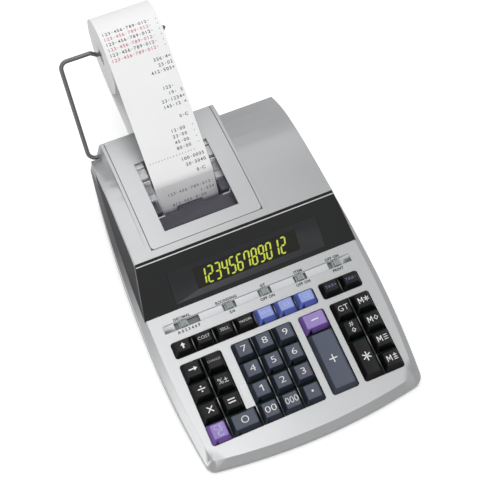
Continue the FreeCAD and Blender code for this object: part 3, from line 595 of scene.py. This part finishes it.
def panel_finish():
    """Gloss black, and a little greyer in the pocket round the display window."""
    made = moulded("gloss_black", tone(22, 23, 23), 0.22, 0.03, depth=0.000003, gloss=0.16)
    _, y, z = made.row_axes()
    above = z - deck_height
    out = above * math.cos(panel_tilt) - y * math.sin(panel_tilt)
    pocket = made.fall(out, -0.12, -0.04) * made.fall(above, 26.0, 26.6)
    made.drive(Base_Color=made.blend(pocket, made.paint, tone(42, 44, 46)))
    return made


def board_finish():
    """Green circuit board, with the grey bodies of the slide switches standing on it."""
    made = moulded("keypad_board", tone(40, 92, 58), 0.35)
    _, _, up = made.deck_axes()
    body = made.ramp(up, -6.15, -6.05)
    made.drive(Base_Color=made.blend(body, made.paint, tone(112, 114, 116)))
    return made


# Painted shade: the near-black block and the mid grey block lie on the floors of the two slots between the
# light blocks.
PRINTER_BLOCKS = (
    # front and rear end along the case, and grey
    (83.8, 96.0, (78, 78, 82)), (96.0, 103.0, (196, 196, 198)), (103.0, 112.8, (158, 158, 160)),
    (112.8, 114.8, (226, 226, 227)), (114.8, 117.0, (12, 12, 12)), (117.0, 127.8, (206, 207, 207)),
    (127.8, 128.9, (120, 120, 120)), (128.9, 140.0, (224, 225, 224)),
)


def printer_finish():
    """The printer's frame: dark in front, and light grey blocks beside the paper, with painted shade in the
    two slots between them.
    """
    made = moulded("printer_grey", tone(46, 46, 50), 0.4)
    x, y, z = made.row_axes()
    colour = made.paint
    above = made.ramp(z, 61.5, 61.9)
    for start, end, grey in PRINTER_BLOCKS:
        colour = made.blend(y.within(start, end, 0.1) * above, colour, tone(*grey))
    beside = made.ramp((x - paper_middle).absolute(), paper_width / 2 - 0.3, paper_width / 2)
    shield_edge = y.within(79.6, 81.4, 0.1) * made.ramp(z, 58.5, 58.9) * beside
    made.drive(Base_Color=made.blend(shield_edge, colour, tone(200, 200, 202)))
    return made


def print_ink():
    """Black print, made paler under the smoked cover as a painted reflection of the cover."""
    made = moulded("print_ink", tone(66, 66, 72), 0.7, depth=0.000002, patch=0.1)
    _, _, z = made.row_axes()
    # Painted reflection: the print is paler where the smoked cover lies over it.
    under = made.fall(z, tear_point.z - 1.0, tear_point.z - 0.5)
    made.drive(Base_Color=made.blend(under, made.paint, tone(138, 136, 144)))
    return made


def paper_finish():
    made = Finish("paper_white", Roughness=0.85, Specular_IOR_Level=0.2)
    fibre = made.noise(900.0, 4.0, 0.7, (1.0, 0.4, 1.0))
    wide = made.noise(25.0, 2.0)
    made.drive(Base_Color=made.blend(fibre * 0.6 + wide * 0.4, tone(234, 234, 235), tone(247, 247, 247)))
    made.drive(Normal=made.relief(fibre, 0.00001))
    return made


def roll_finish():
    """Wound paper: the edges of the turns show as fine rings on both ends."""
    made = Finish("wound_paper", Roughness=0.85, Specular_IOR_Level=0.2)
    _, y, z = made.row_axes()
    across = y - roll_centre.y
    up = z - roll_centre.z
    radius = (across * across + up * up) ** 0.5
    rings = (radius * 9.0).wave() * 0.5 + 0.5
    uneven = made.noise(60.0, 3.0)
    made.drive(Base_Color=made.blend(rings * 0.5 + uneven * 0.5, tone(214, 214, 216), tone(240, 240, 241)))
    made.drive(Normal=made.relief(rings, 0.00004, 0.6))
    return made


def lit_digits():
    made = Finish("lit_digits", Roughness=0.5, Emission_Strength=0.38)
    glow = made.noise(700.0, 2.0)
    colour = made.blend(glow, tone(166, 176, 48), tone(186, 196, 66))
    made.drive(Base_Color=colour, Emission_Color=colour)
    return made


def make_finishes():
    silver = tone(152, 153, 154)
    made = {
        "silver": case_silver(silver),
        "cover": cover_silver(silver),
        "door": door_silver(tone(157, 158, 159)),
        "grey": moulded("rim_grey", tone(168, 168, 168), 0.42),
        "dark_side": moulded("side_grey", tone(60, 60, 62), 0.65, grain=1800.0, depth=0.00004, gloss=0.08),
        "gloss_black": panel_finish(),
        "display": moulded("display_dark", tone(30, 29, 24), 0.25, 0.03, depth=0.000002, gloss=0.12),
        # Keys: a top colour, then a darker side colour that is painted shade.
        "slate": key_plastic_painted_shade("slate_key", tone(84, 88, 101), tone(37, 42, 52)),
        "plus": key_plastic_painted_shade("plus_key", tone(84, 90, 104), tone(60, 64, 76)),
        "black": key_plastic_painted_shade("black_key", tone(24, 24, 25), tone(9, 9, 10)),
        "purple": key_plastic_painted_shade("purple_key", tone(152, 132, 192), tone(110, 80, 150)),
        "blue": key_plastic_painted_shade("blue_key", tone(146, 160, 214), tone(90, 105, 184)),
        "knob": moulded("switch_knob", tone(160, 167, 167), 0.45),
        "board": board_finish(),
        "frame": printer_finish(),
        "rubber": moulded("foot_rubber", tone(36, 36, 38), 0.8),
        "platen": moulded("platen_rubber", tone(30, 30, 32), 0.75, depth=0.00003),
        "carriage": moulded("carriage_black", tone(32, 32, 34), 0.4),
        "wire": moulded("plated_wire", tone(90, 90, 90), 0.36, metal=0.6, depth=0.00001),
        "paper": paper_finish(),
        "roll": roll_finish(),
        "smoked": moulded("smoked_clear", tone(126, 120, 150), 0.12, 0.02, depth=0.000002, gloss=0.2),
        "legend": lettering("legend_white", tone(232, 232, 230)),
        "dim_legend": lettering("legend_dim", tone(190, 190, 190)),
        "blue_legend": lettering("legend_blue", tone(136, 140, 178)),
        "pale_legend": lettering("legend_pale", tone(196, 204, 236)),
        "ink": lettering("deck_ink", tone(24, 25, 27)),
        "print": print_ink(),
        "red_print": moulded("red_print", tone(206, 104, 120), 0.7, depth=0.000002, patch=0.1),
        "label": lettering("label_white", tone(230, 231, 232)),
        "trim": moulded("trim_silver", tone(190, 190, 188), 0.3, metal=0.6, depth=0.000004, patch=0.04),
        "screw": moulded("screw_steel", tone(120, 120, 122), 0.35, metal=0.9, depth=0.000006),
        # Painted shade for the screws' cross recesses.
        "recess": moulded("screw_recess", tone(30, 30, 32), 0.5),
        "digits": lit_digits(),
    }
    made["smoked"].drive(Alpha=0.045)
    return made


finishes = make_finishes()


def dress_nodes():
    """Finishes of the CAD pieces that are shown as they are."""
    dressed = {"display_module": "display", "keypad_board": "board", "rubber_feet": "rubber"}
    for name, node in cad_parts.items():
        finish = "knob" if name.startswith("switch_") else dressed.get(name)
        if finish:
            node.data.materials.clear()
            node.data.materials.append(finishes[finish].material)


# The block beside the paper's left edge, seen from the side as (y, z), and how far it is widened.
CHEEK = (
    (84.0, 62.0), (96.0, 62.0), (96.0, 65.4), (103.0, 65.4), (103.0, 66.7), (112.6, 66.7), (113.6, 71.2),
    (114.6, 71.2), (114.6, 62.0), (117.2, 62.0), (117.2, 72.4), (127.6, 72.8), (127.6, 66.0), (129.0, 66.0),
    (129.0, 73.0), (136.0, 73.0), (139.0, 70.0), (139.0, 58.0), (84.0, 58.0),
)
cheek_side = -53.75
cheek_gap = 2.55


def fill_cheek(shape):
    """Widens the block beside the paper's left edge as far as the paper."""
    face = shape.faces.new([shape.verts.new(on_row @ Vector((cheek_side, y, z))) for y, z in CHEEK])
    moving = extruded(shape, face)
    bmesh.ops.translate(shape, verts=moving, vec=(cheek_gap * MM, 0, 0))
    filled = [f for v in moving for f in v.link_faces]
    bmesh.ops.recalc_face_normals(shape, faces=list(set(filled + [face])))


def smooth_shells():
    """Merged copies of the curved CAD pieces, so that their curves are shaded as curves."""
    for node, finish, degrees, body, slot in (
        ("top_case", "silver", 24, "base", "case_silver"),
        ("bottom_case", "grey", 24, "base", "case_grey"),
        ("rear_cover", "cover", 24, "base", "case_silver"),
        ("side_panels", "dark_side", 24, "base", "side_dark"),
        ("display_panel", "gloss_black", 20, "base", "panel_black"),
        ("printer_cover", "door", 24, "printer_cover", "door_silver"),
        ("tear_cover", "smoked", 20, "printer_cover", "smoked"),
        ("printer_frame", "frame", 30, "base", "frame_grey"),
        ("platen_roller", "platen", 40, "platen", "platen"),
        ("print_carriage", "carriage", 30, "print_carriage", "carriage"),
    ):
        shape = merged_copy(node)
        if node == "printer_frame":
            fill_cheek(shape)
        piece = new_piece(node + "_shell", shape, finish, body, smooth_angle=degrees)
        even = piece.modifiers.new("even_shading", "WEIGHTED_NORMAL")
        even.keep_sharp = True
        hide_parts(node)


# Keys


def key_cells():
    """Footprint of each key on the deck as (u0, v0, u1, v1)."""
    def cell(pad_u, pad_top, column, row, rows=1):
        u0 = pad_u + edge_gap + column * pitch_u
        v0 = pad_top + edge_gap + row * pitch_v
        return u0, v0, u0 + pitch_u - key_gap, v0 + rows * pitch_v - key_gap

    cells = {}
    depth = top_row_depth - 2 * edge_gap
    top_rows = (
        (left_pad_u, ("paper_feed", "cost", "sell", "margin", "rate_1", "rate_2", "rate_3")),
        (tax_u, ("tax_plus", "tax_minus")),
    )
    for pad_u, names in top_rows:
        for i, name in enumerate(names):
            u0, v0, u1, _ = cell(pad_u, top_row_v, i, 0)
            cells[name] = (u0, v0, u1, v0 + depth)
    grids = (
        (left_pad_u, (("backspace", "change"), ("divide", "percent"), ("multiply", "equals"), ("clear",))),
        (number_pad_u, (("7", "8", "9"), ("4", "5", "6"), ("1", "2", "3"), ("00", "000", "point"))),
        (right_pad_u, (("grand_total", "memory_total"), ("subtotal", "memory_subtotal"),
                       (None, "memory_minus"), (None, "memory_plus"))),
    )
    for pad_u, rows in grids:
        for row, names in enumerate(rows):
            for column, name in enumerate(names):
                if name:
                    cells[name] = cell(pad_u, pad_v, column, row)
    cells["total"] = cell(right_pad_u, pad_v, 0, 2, rows=2)
    zero = cell(left_pad_u, pad_v, 1, 3)
    cells["0"] = (zero[0], zero[1], number_pad_u + edge_gap - key_gap, zero[3])
    column_end = column_u + column_width - edge_gap
    for name, row, rows in (("minus", 0, 1), ("plus", 1, 3)):
        u0, v0, _, v1 = cell(column_u, pad_v, 0, row, rows)
        cells[name] = (u0, v0, column_end, v1)
    return cells


def dish(shape, middle, half_top):
    """Hollows everything near the keys' top across its width, and leaves the skirt."""
    for vertex in shape.verts:
        share = min(abs(vertex.co.x - middle) / half_top, 1.0)
        height = (vertex.co.z - key_shoulder) / (key_top - key_shoulder)
        vertex.co.z -= dish_depth * (1 - share**2) * min(max(height, 0.0), 1.0) ** 4


def key_look(name):
    """A key's finish and slot."""
    if name == "plus":
        return "plus", "key_plus"
    if name in ("minus", "clear"):
        return "purple", "key_purple"
    if name.startswith("rate"):
        return "blue", "key_blue"
    if name[0].isdigit() or name == "point":
        return "slate", "key_slate"
    return "black", "key_black"


def cap_keys(cells):
    """Key caps with a skirt, sloping sides, a rounded rim and a top hollowed across."""
    for name, (u0, v0, u1, v1) in cells.items():
        shape = bmesh.new()
        add_box(shape, (u0, -v1, -key_skirt), (u1, -v0, key_shoulder))
        round_edges(shape, edges_along(shape, "z", 1), key_corner, 4)
        top = max(shape.faces, key=lambda face: face.calc_center_median().z)
        middle_u, middle_v = (u0 + u1) / 2, -(v0 + v1) / 2
        for vertex in extruded(shape, top):
            vertex.co.x += key_side_slope if vertex.co.x < middle_u else -key_side_slope
            vertex.co.y += key_front_slope if vertex.co.y < middle_v else -key_rear_slope
            vertex.co.z = key_top
        rim = [e for e in shape.edges if all(v.co.z > key_top - 0.01 for v in e.verts)]
        round_edges(shape, rim, key_rim, 3)
        half_top = (u1 - u0) / 2 - key_side_slope
        for step in range(1 - dish_cuts, dish_cuts):
            cut_across(shape, (middle_u + half_top * step / dish_cuts, 0, 0), (1, 0, 0), 0.0001)
        dish(shape, middle_u, half_top)
        finish, slot = key_look(name)
        piece = new_piece("cap_" + name, shape, finish, "key_" + name, on_deck, 35)
        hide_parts("key_" + name)


# Drawn marks as outlines of (x, y) points, each about its own middle.
UP_ARROW = (((-0.8, -2.6), (0.8, -2.6), (0.8, 0.1), (2.3, 0.1), (0, 2.6), (-2.3, 0.1), (-0.8, 0.1)),)
RIGHT_ARROW = (((-4.0, -0.55), (0.9, -0.55), (0.9, -2.0), (4.0, 0), (0.9, 2.0), (0.9, 0.55), (-4.0, 0.55)),)
ONE = (((0.35, -2.9), (1.35, -2.9), (1.35, 2.9), (0.55, 2.9), (-1.5, 1.9), (-1.5, 0.9), (0.35, 1.75)),)
DIAMOND = (((0, -2.5), (2.3, 0), (0, 2.5), (-2.3, 0), (-1.45, 0), (0, 1.55), (1.45, 0), (0, -1.55),
            (-1.45, -0.01), (-2.3, -0.01)),)
LETTER_M = (((-2.3, -2.7), (-1.55, -2.7), (-1.55, 1.2), (0, -1.7), (1.55, 1.2), (1.55, -2.7), (2.3, -2.7),
             (2.3, 2.7), (1.5, 2.7), (0, -0.1), (-1.5, 2.7), (-2.3, 2.7)),)


def bar(long, thick, angle=0.0, x=0.0, y=0.0):
    """Corners of a straight stroke about a point."""
    c, s = math.cos(angle), math.sin(angle)
    return [(x + c * a * long / 2 - s * b * thick / 2, y + s * a * long / 2 + c * b * thick / 2)
            for a, b in ((-1, -1), (1, -1), (1, 1), (-1, 1))]


def dot(radius, x=0.0, y=0.0):
    """Corners of a round dot about a point."""
    turns = [2 * math.pi * i / 20 for i in range(20)]
    return [(x + radius * math.cos(t), y + radius * math.sin(t)) for t in turns]


def star(long, thick, x=0.0, y=0.0):
    """Three strokes crossed at a point."""
    return [bar(long, thick, math.pi * (i + 0.5) / 3, x, y) for i in range(3)]


def moved(outlines, x, y, size=1.0):
    """Outlines at a size of their own and about another point."""
    return [[(x + a * size, y + b * size) for a, b in outline] for outline in outlines]


def drawn_marks():
    """The outlines on each key that carries a sign."""
    letter_m = moved(LETTER_M, -2.4, 0)
    quarter = math.pi / 2
    return {
        "paper_feed": UP_ARROW,
        "backspace": RIGHT_ARROW,
        "1": ONE,
        "point": [dot(1.0)],
        "plus": [bar(7.6, 1.0), bar(7.6, 1.0, quarter)],
        "minus": [bar(6.8, 1.1)],
        "multiply": [bar(7.2, 1.0, quarter / 2), bar(7.2, 1.0, -quarter / 2)],
        "divide": [bar(6.8, 1.0), dot(0.75, 0, 2.2), dot(0.75, 0, -2.2)],
        "equals": [bar(6.8, 1.05, 0, 0, 1.35), bar(6.8, 1.05, 0, 0, -1.35)],
        "total": star(8.4, 1.0),
        "subtotal": moved(DIAMOND, 0, -2.9, 0.9),
        "memory_total": star(5.0, 0.7, 3.2, 0.2) + letter_m,
        "memory_subtotal": moved(DIAMOND, 3.3, 0.1, 0.95) + letter_m,
        "memory_minus": [bar(3.6, 0.7, 0, 3.4, y) for y in (2.0, 0.0, -2.0)] + letter_m,
        "memory_plus": [bar(3.6, 0.7, 0, 3.4, y) for y in (1.6, -0.6, -2.3)]
                       + [bar(3.0, 0.7, quarter, 3.4, 1.6)] + letter_m,
    }


def print_keys(cells):
    """Plain marks on the keys. Words have a height, a place across and up, and a width."""
    digit = 5.8
    thinner = -0.012
    words_on = {name: ((name, digit, 0, 0, 1.42),) for name in "23456789"}
    words_on.update({
        "0": (("O", 6.4, 0, 0, 1.05),),
        "00": (("00", digit, 0, 0, 1.35),),
        "000": (("000", digit, 0, 0, 1.0),),
        "clear": (("CE", 4.4, 0, 2.7, 1.1), ("C", 5.0, 0.4, -2.8, 1.15)),
        "percent": (("%±", 5.2, 0, 0, 1.05),),
        "change": (("CHANGE", 2.1, 0, 0.4, 1.0),),
        "cost": (("COST", 2.8, 0, 0, 1.12),),
        "sell": (("SELL", 2.8, 0, 0, 1.12),),
        "margin": (("MARGIN", 2.1, 0, 0, 1.0),),
        "rate_1": (("RATE", 2.7, 0, 0, 1.1),),
        "rate_2": (("C1", 3.0, 0, 0, 1.15),),
        "rate_3": (("C2", 3.0, 0, 0, 1.15),),
        "tax_plus": (("TAX+", 2.8, 0, 0, 1.05),),
        "tax_minus": (("TAX−", 2.8, 0, 0, 1.05),),
        "grand_total": (("GT", 5.2, 0, 0, 1.05),),
        "subtotal": (("#", 4.8, 0, 2.9, 1.0),),
    })
    pale = {"change": "dim_legend", "tax_plus": "blue_legend", "tax_minus": "blue_legend"}
    pale.update(dict.fromkeys(("rate_1", "rate_2", "rate_3", "clear"), "pale_legend"))
    marks = drawn_marks()
    for name, (u0, v0, u1, v1) in cells.items():
        shape = bmesh.new()
        for words, height, across, up, wide in words_on.get(name, ()):
            letters(shape, words, height, across, up, wide=wide, weight=height * thinner)
        for outline in marks.get(name, ()):
            plate(shape, outline)
        half_top = (u1 - u0) / 2 - key_side_slope
        for vertex in shape.verts:
            vertex.co.z += key_top - dish_depth * (1 - (vertex.co.x / half_top) ** 2) + print_lift
        v = (v0 + v1) / 2 - (key_front_slope - key_rear_slope) / 2
        bmesh.ops.translate(shape, vec=((u0 + u1) / 2, -v, 0), verts=shape.verts)
        finish = pale.get(name, "legend")
        new_piece("legend_" + name, shape, finish, "key_" + name, on_deck)


def print_deck():
    """Small plain words and numbers beside the switches."""
    shape = bmesh.new()
    name_v, value_v = 8.0, 20.2
    for words, u, v in (
        ("DECIMAL", -72.0, name_v), ("A 0 2 3 4 6 F", -70.0, value_v),
        ("ROUNDING", -29.5, name_v), ("5/4", -28.5, value_v),
        ("GT", 6.2, name_v), ("OFF ON", 5.8, value_v),
        ("ITEM", 41.0, name_v), ("OFF ON", 41.0, value_v),
        ("OFF ON", 75.0, name_v), ("PRINT", 76.0, value_v),
    ):
        letters(shape, words, 2.5, u, -v, lift=0.02, spacing=1.1, weight=0.15)
    new_piece("deck_marks", shape, "ink", "base", on_deck)


# Display digits

SEGMENTS = {
    "0": "abcdef", "1": "bc", "2": "abged", "3": "abgcd", "4": "fgbc", "5": "afgcd", "6": "afgedc",
    "7": "fabc", "8": "abcdefg", "9": "abcdfg",
}


def light_digits():
    """Twelve slanted seven-segment digits behind the display window."""
    shape = bmesh.new()
    width, height, stroke, pitch, slant = 4.4, 14.4, 1.5, 7.1, 0.14
    first_x, foot_y, behind = -44.2, 12.0, 2.59
    half = height / 2
    lines = {
        "a": ((0, height), (width, height)), "g": ((0, half), (width, half)), "d": ((0, 0), (width, 0)),
        "f": ((0, half), (0, height)), "b": ((width, half), (width, height)),
        "e": ((0, 0), (0, half)), "c": ((width, 0), (width, half)),
    }
    for i, digit in enumerate("123456789012"):
        for letter in SEGMENTS[digit]:
            start, end = (Vector(p) for p in lines[letter])
            along = (end - start).normalized()
            across = Vector((-along.y, along.x)) * stroke / 2
            gap = along * stroke * 0.15
            tip = along * stroke / 2
            outline = (start + gap, start + gap + tip + across, end - gap - tip + across, end - gap,
                       end - gap - tip - across, start + gap + tip - across)
            points = [(p.x + i * pitch + first_x + p.y * slant, p.y + foot_y) for p in outline]
            plate(shape, points, 0.05)
    bmesh.ops.translate(shape, vec=(0, 0, -behind), verts=shape.verts)
    new_piece("display_digits", shape, "digits", "base", on_panel)


# Paper, roll and arm

# Where the sheet would start to follow the arm, and where it would follow it fully; not used.
top_bend = (tear_point, Vector((0, 197.0, 140.4)))
web_bend = (Vector((0, 168.0, 70.9)), Vector((0, 234.7, 83.6)))


def bend_with_arm(piece):
    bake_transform(piece)


def lay_paper():
    """The printed strip over the roll and the feed web below, cut apart under the platen."""
    slope = strip_split_slope
    low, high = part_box("paper_strip")
    length = high.y - low.y
    steps = int(length / (strip_slice * MM))
    near = 0.000001
    surface = None
    for name, outward, bend in (("paper_strip_top", slope, top_bend), ("paper_web", -slope, web_bend)):
        shape = merged_copy("paper_strip")
        bmesh.ops.dissolve_limit(shape, angle_limit=0.01, verts=shape.verts, edges=shape.edges)
        cut = cut_across(shape, on_row @ strip_split, outward, near, clear_inner=True)
        edges = [g for g in cut["geom_cut"] if isinstance(g, bmesh.types.BMEdge)]
        bmesh.ops.edgeloop_fill(shape, edges=edges)
        for i in range(1, steps):
            cut_across(shape, (0, low.y + length * i / steps, 0), (0, 1, 0), near)
        if surface is None:
            surface = BVHTree.FromBMesh(shape)
        piece = new_piece(name, shape, "paper", None, smooth_angle=40)
        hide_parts("paper_strip")
        bend_with_arm(piece)
    return surface


def roll_run():
    """Direction and length of the straight run from the tearing edge to the roll."""
    to_centre = roll_centre - tear_point
    angle = math.atan2(to_centre.z, to_centre.y) + math.asin(roll_reach / to_centre.length)
    run = math.sqrt(to_centre.length**2 - roll_reach**2)
    return Vector((0, math.cos(angle), math.sin(angle))), run


def above_paper(along):
    """Point a little above the sheet and the direction out of it, at a length from the tearing edge."""
    direction, run = roll_run()
    if along < 0:
        direction = (tear_point - platen_point).normalized()
    outward = Vector((0, -direction.z, direction.y))
    if along <= run:
        return tear_point + direction * along + outward * sheet_clearance, outward
    turn = Matrix.Rotation(-(along - run) / roll_reach, 3, "X")
    outward = turn @ outward
    return roll_centre + outward * (roll_reach + sheet_clearance), outward


PRINT_ROWS = (
    # text, right end across, length from the tearing edge, red
    ("123.456.789.012.", -2.6, 143.0, False), ("123.456.789.012.", -2.6, 138.0, True),
    ("123.456.789.012.", -2.6, 133.0, False), ("123.456.789.012.", -2.6, 128.0, True),
    ("123.456.789.012.", -2.6, 123.0, False), ("123.456.789.012.", -2.6, 118.0, True),
    (".", 4.4, 142.6, False), (".", 4.4, 137.6, False), (".", 4.4, 132.6, False), (".", 4.4, 127.6, False),
    (".", 4.4, 122.6, False), (".", 4.4, 117.6, False),
    ("356.4*", 4.6, 107.4, False), ("25.02", 4.6, 101.8, False), ("412.505*", 4.6, 96.6, False),
    ("123.", -1.7, 81.0, False), ("19. 5", 4.8, 75.4, False), ("23.1234*", 4.8, 69.8, False),
    ("145.12 *", 4.6, 64.4, False), ("0.C", 1.6, 53.1, False), ("12.00  .", 3.6, 42.5, False),
    ("23.00  .", 3.6, 37.1, False), ("45.00  .", 3.6, 31.6, False), ("80.00  .", 3.6, 26.1, False),
    ("................", -2.7, 20.7, False), ("100.0005", 3.9, 15.4, False), ("20.3040", 3.6, 9.8, False),
    ("0.C", 0.1, 2.4, False), ("123.456.789.012.", 4.5, -13.0, False), ("1.234", 4.0, -18.9, False),
    ("412.505 0.00", -4.7, -24.4, False),
)
print_pitch = 2.86
print_height = 2.9
print_dot = 5.0


def print_paper(surface):
    """The printed rows, each character in a cell of its own, laid on the sheet."""
    inks = {False: bmesh.new(), True: bmesh.new()}
    for words, right, along, red in PRINT_ROWS:
        for i, character in enumerate(reversed(words)):
            if character == " ":
                continue
            height = print_dot if character == "." else print_height
            wide = 0.72 if character == "." else 1.1
            letters(inks[red], character, height, right - print_pitch * (i + 0.5), along, wide=wide,
                    weight=0.06, lift=print_lift)
    for red, shape in inks.items():
        for vertex in shape.verts:
            above, outward = above_paper(vertex.co.y)
            above.x = vertex.co.x
            hit, _, _, _ = surface.ray_cast(on_row @ above, -outward)
            vertex.co = hit + outward * vertex.co.z * MM
        name, finish = ("print_red", "red_print") if red else ("print_black", "print")
        piece = new_piece(name, shape, finish, None)
        bend_with_arm(piece)


def wind_roll():
    """The wound roll: its turns stand slightly unevenly at both ends, round an open bore."""
    rings = 16
    side = []
    for i in range(rings + 1):
        radius = bore_radius + (roll_radius - bore_radius) * i / rings
        recess = 0.22 * abs(math.sin(2.3 * i + 0.4)) if 0 < i < rings else 0.0
        side.append((recess, radius))
    profile = [(paper_left + recess, radius) for recess, radius in side]
    profile += [(paper_right - recess, radius) for recess, radius in reversed(side)]
    shape = bmesh.new()
    spun(shape, profile, roll_centre, 96)
    piece = new_piece("wound_roll", shape, "roll", "paper_roll", on_row, 50)
    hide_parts("paper_roll")


def wire_knots():
    """The wire's curve, as places and the pull of their handles: straight runs joined by round bends."""
    hinge_y, hinge_z = 166.0, 60.0
    top_y, top_z = 229.5, 127.5
    hump_left = hump_middle - hump_half_width
    rod_z = roll_centre.z + bore_radius - wire_radius - wire_gap
    corners = (
        (hump_left + 4.5, hinge_y, hinge_z), (hump_left - 12.5, hinge_y, hinge_z),
        (hump_left - 9.5, top_y, top_z), (paper_left - 9.0, top_y, top_z),
        (paper_left - 3.5, roll_centre.y, rod_z), (paper_right + 2.5, roll_centre.y, rod_z),
        (paper_right + 6.5, roll_centre.y + 2.0, rod_z + 6.0),
    )
    radii = (7.0, 7.0, 3.0, 3.0, 3.0)
    points = [Vector(corner) for corner in corners]
    knots = [(points[0], Vector((0, 0, 0)))]
    for before, at, after, radius in zip(points, points[1:], points[2:], radii):
        arrive = (at - before).normalized()
        leave = (after - at).normalized()
        turn = arrive.angle(leave)
        reach = radius * math.tan(turn / 2)
        pull = radius * 4 / 3 * math.tan(turn / 4)
        knots += [(at - arrive * reach, arrive * pull), (at + leave * reach, leave * pull)]
    return knots + [(points[-1], Vector((0, 0, 0)))]


def bend_wire():
    """The round wire arm on one smooth curve, with its cut ends closed."""
    curve = bpy.data.curves.new("wire", "CURVE")
    curve.dimensions = "3D"
    curve.bevel_depth = wire_radius
    curve.bevel_resolution = 4
    curve.resolution_u = 8
    curve.use_fill_caps = True
    knots = wire_knots()
    spline = curve.splines.new("BEZIER")
    spline.bezier_points.add(len(knots) - 1)
    for point, (place, pull) in zip(spline.bezier_points, knots):
        point.co = place
        point.handle_left_type = point.handle_right_type = "FREE"
        point.handle_left = place - pull
        point.handle_right = place + pull
    swept = mesh_from(curve)
    shape = bmesh.new()
    shape.from_mesh(swept)
    bpy.data.meshes.remove(swept)
    bmesh.ops.remove_doubles(shape, verts=shape.verts, dist=0.001)
    bmesh.ops.recalc_face_normals(shape, faces=shape.faces)
    piece = new_piece("wire_arm", shape, "wire", "roll_arm", on_row, 50)
    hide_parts("roll_arm")


# Small fittings


def fit_trim():
    """The thin silver line across the display panel."""
    half_length, low, high, foot, top = 95.0, 48.08, 49.12, -0.33, -0.02
    shape = bmesh.new()
    add_box(shape, (-half_length, low, foot), (half_length, high, top))
    round_edges(shape, edges_along(shape, "x", 1), 0.12, 2)
    new_piece("panel_trim", shape, "trim", "base", on_panel, 40)


def fit_label():
    """The bare label on the narrow deck between the left pad and the number pad."""
    shape = bmesh.new()
    add_box(shape, (-50.4, -103.6, 0.0), (-44.2, -84.0, 0.12))
    round_edges(shape, edges_along(shape, "z", 0.01), 2.6, 5)
    new_piece("deck_label", shape, "label", "base", on_deck)


def screw_head(shape, x, y):
    """A domed head of rings from the case down, closed at both ends."""
    loops = []
    for radius, z in ((3.2, 1.5), (3.2, 1.2), (2.8, 0.9), (1.9, 0.76), (0.9, 0.71)):
        place = Matrix.Translation((x, y, z))
        ring = bmesh.ops.create_circle(shape, segments=28, radius=radius, matrix=place)["verts"]
        if loops:
            edges = {e for v in ring for e in v.link_edges}
            last = {e for v in loops[-1] for e in v.link_edges if e.other_vert(v) in loops[-1]}
            bmesh.ops.bridge_loops(shape, edges=list(last | edges))
        loops.append(ring)
    for ring in (loops[0], loops[-1]):
        bmesh.ops.contextual_create(shape, geom=ring)


def fit_screws():
    """Domed screw heads under the case, each with a dark cross painted as the shade in its recess."""
    heads = bmesh.new()
    # Painted shade: a dark cross stands at each head's tip in place of a hollow recess.
    recess_shade = bmesh.new()
    long, short, foot, top = 1.9, 0.32, 0.69, 0.9
    for x in (-72.0, 72.0):
        for y in (-105.0, 30.0, 120.0):
            screw_head(heads, x, y)
            for wide, deep in ((long, short), (short, long)):
                add_box(recess_shade, (x - wide, y - deep, foot), (x + wide, y + deep, top))
    bmesh.ops.recalc_face_normals(heads, faces=heads.faces)
    new_piece("case_screws", heads, "screw", "base", on_row, 40)
    new_piece("screw_recess_shade", recess_shade, "recess", "base", on_row)


set_stage()
lay_floor()
dress_nodes()
smooth_shells()
keys = key_cells()
cap_keys(keys)
print_keys(keys)
print_deck()
light_digits()
print_paper(lay_paper())
wind_roll()
bend_wire()
fit_trim()
fit_label()
fit_screws()
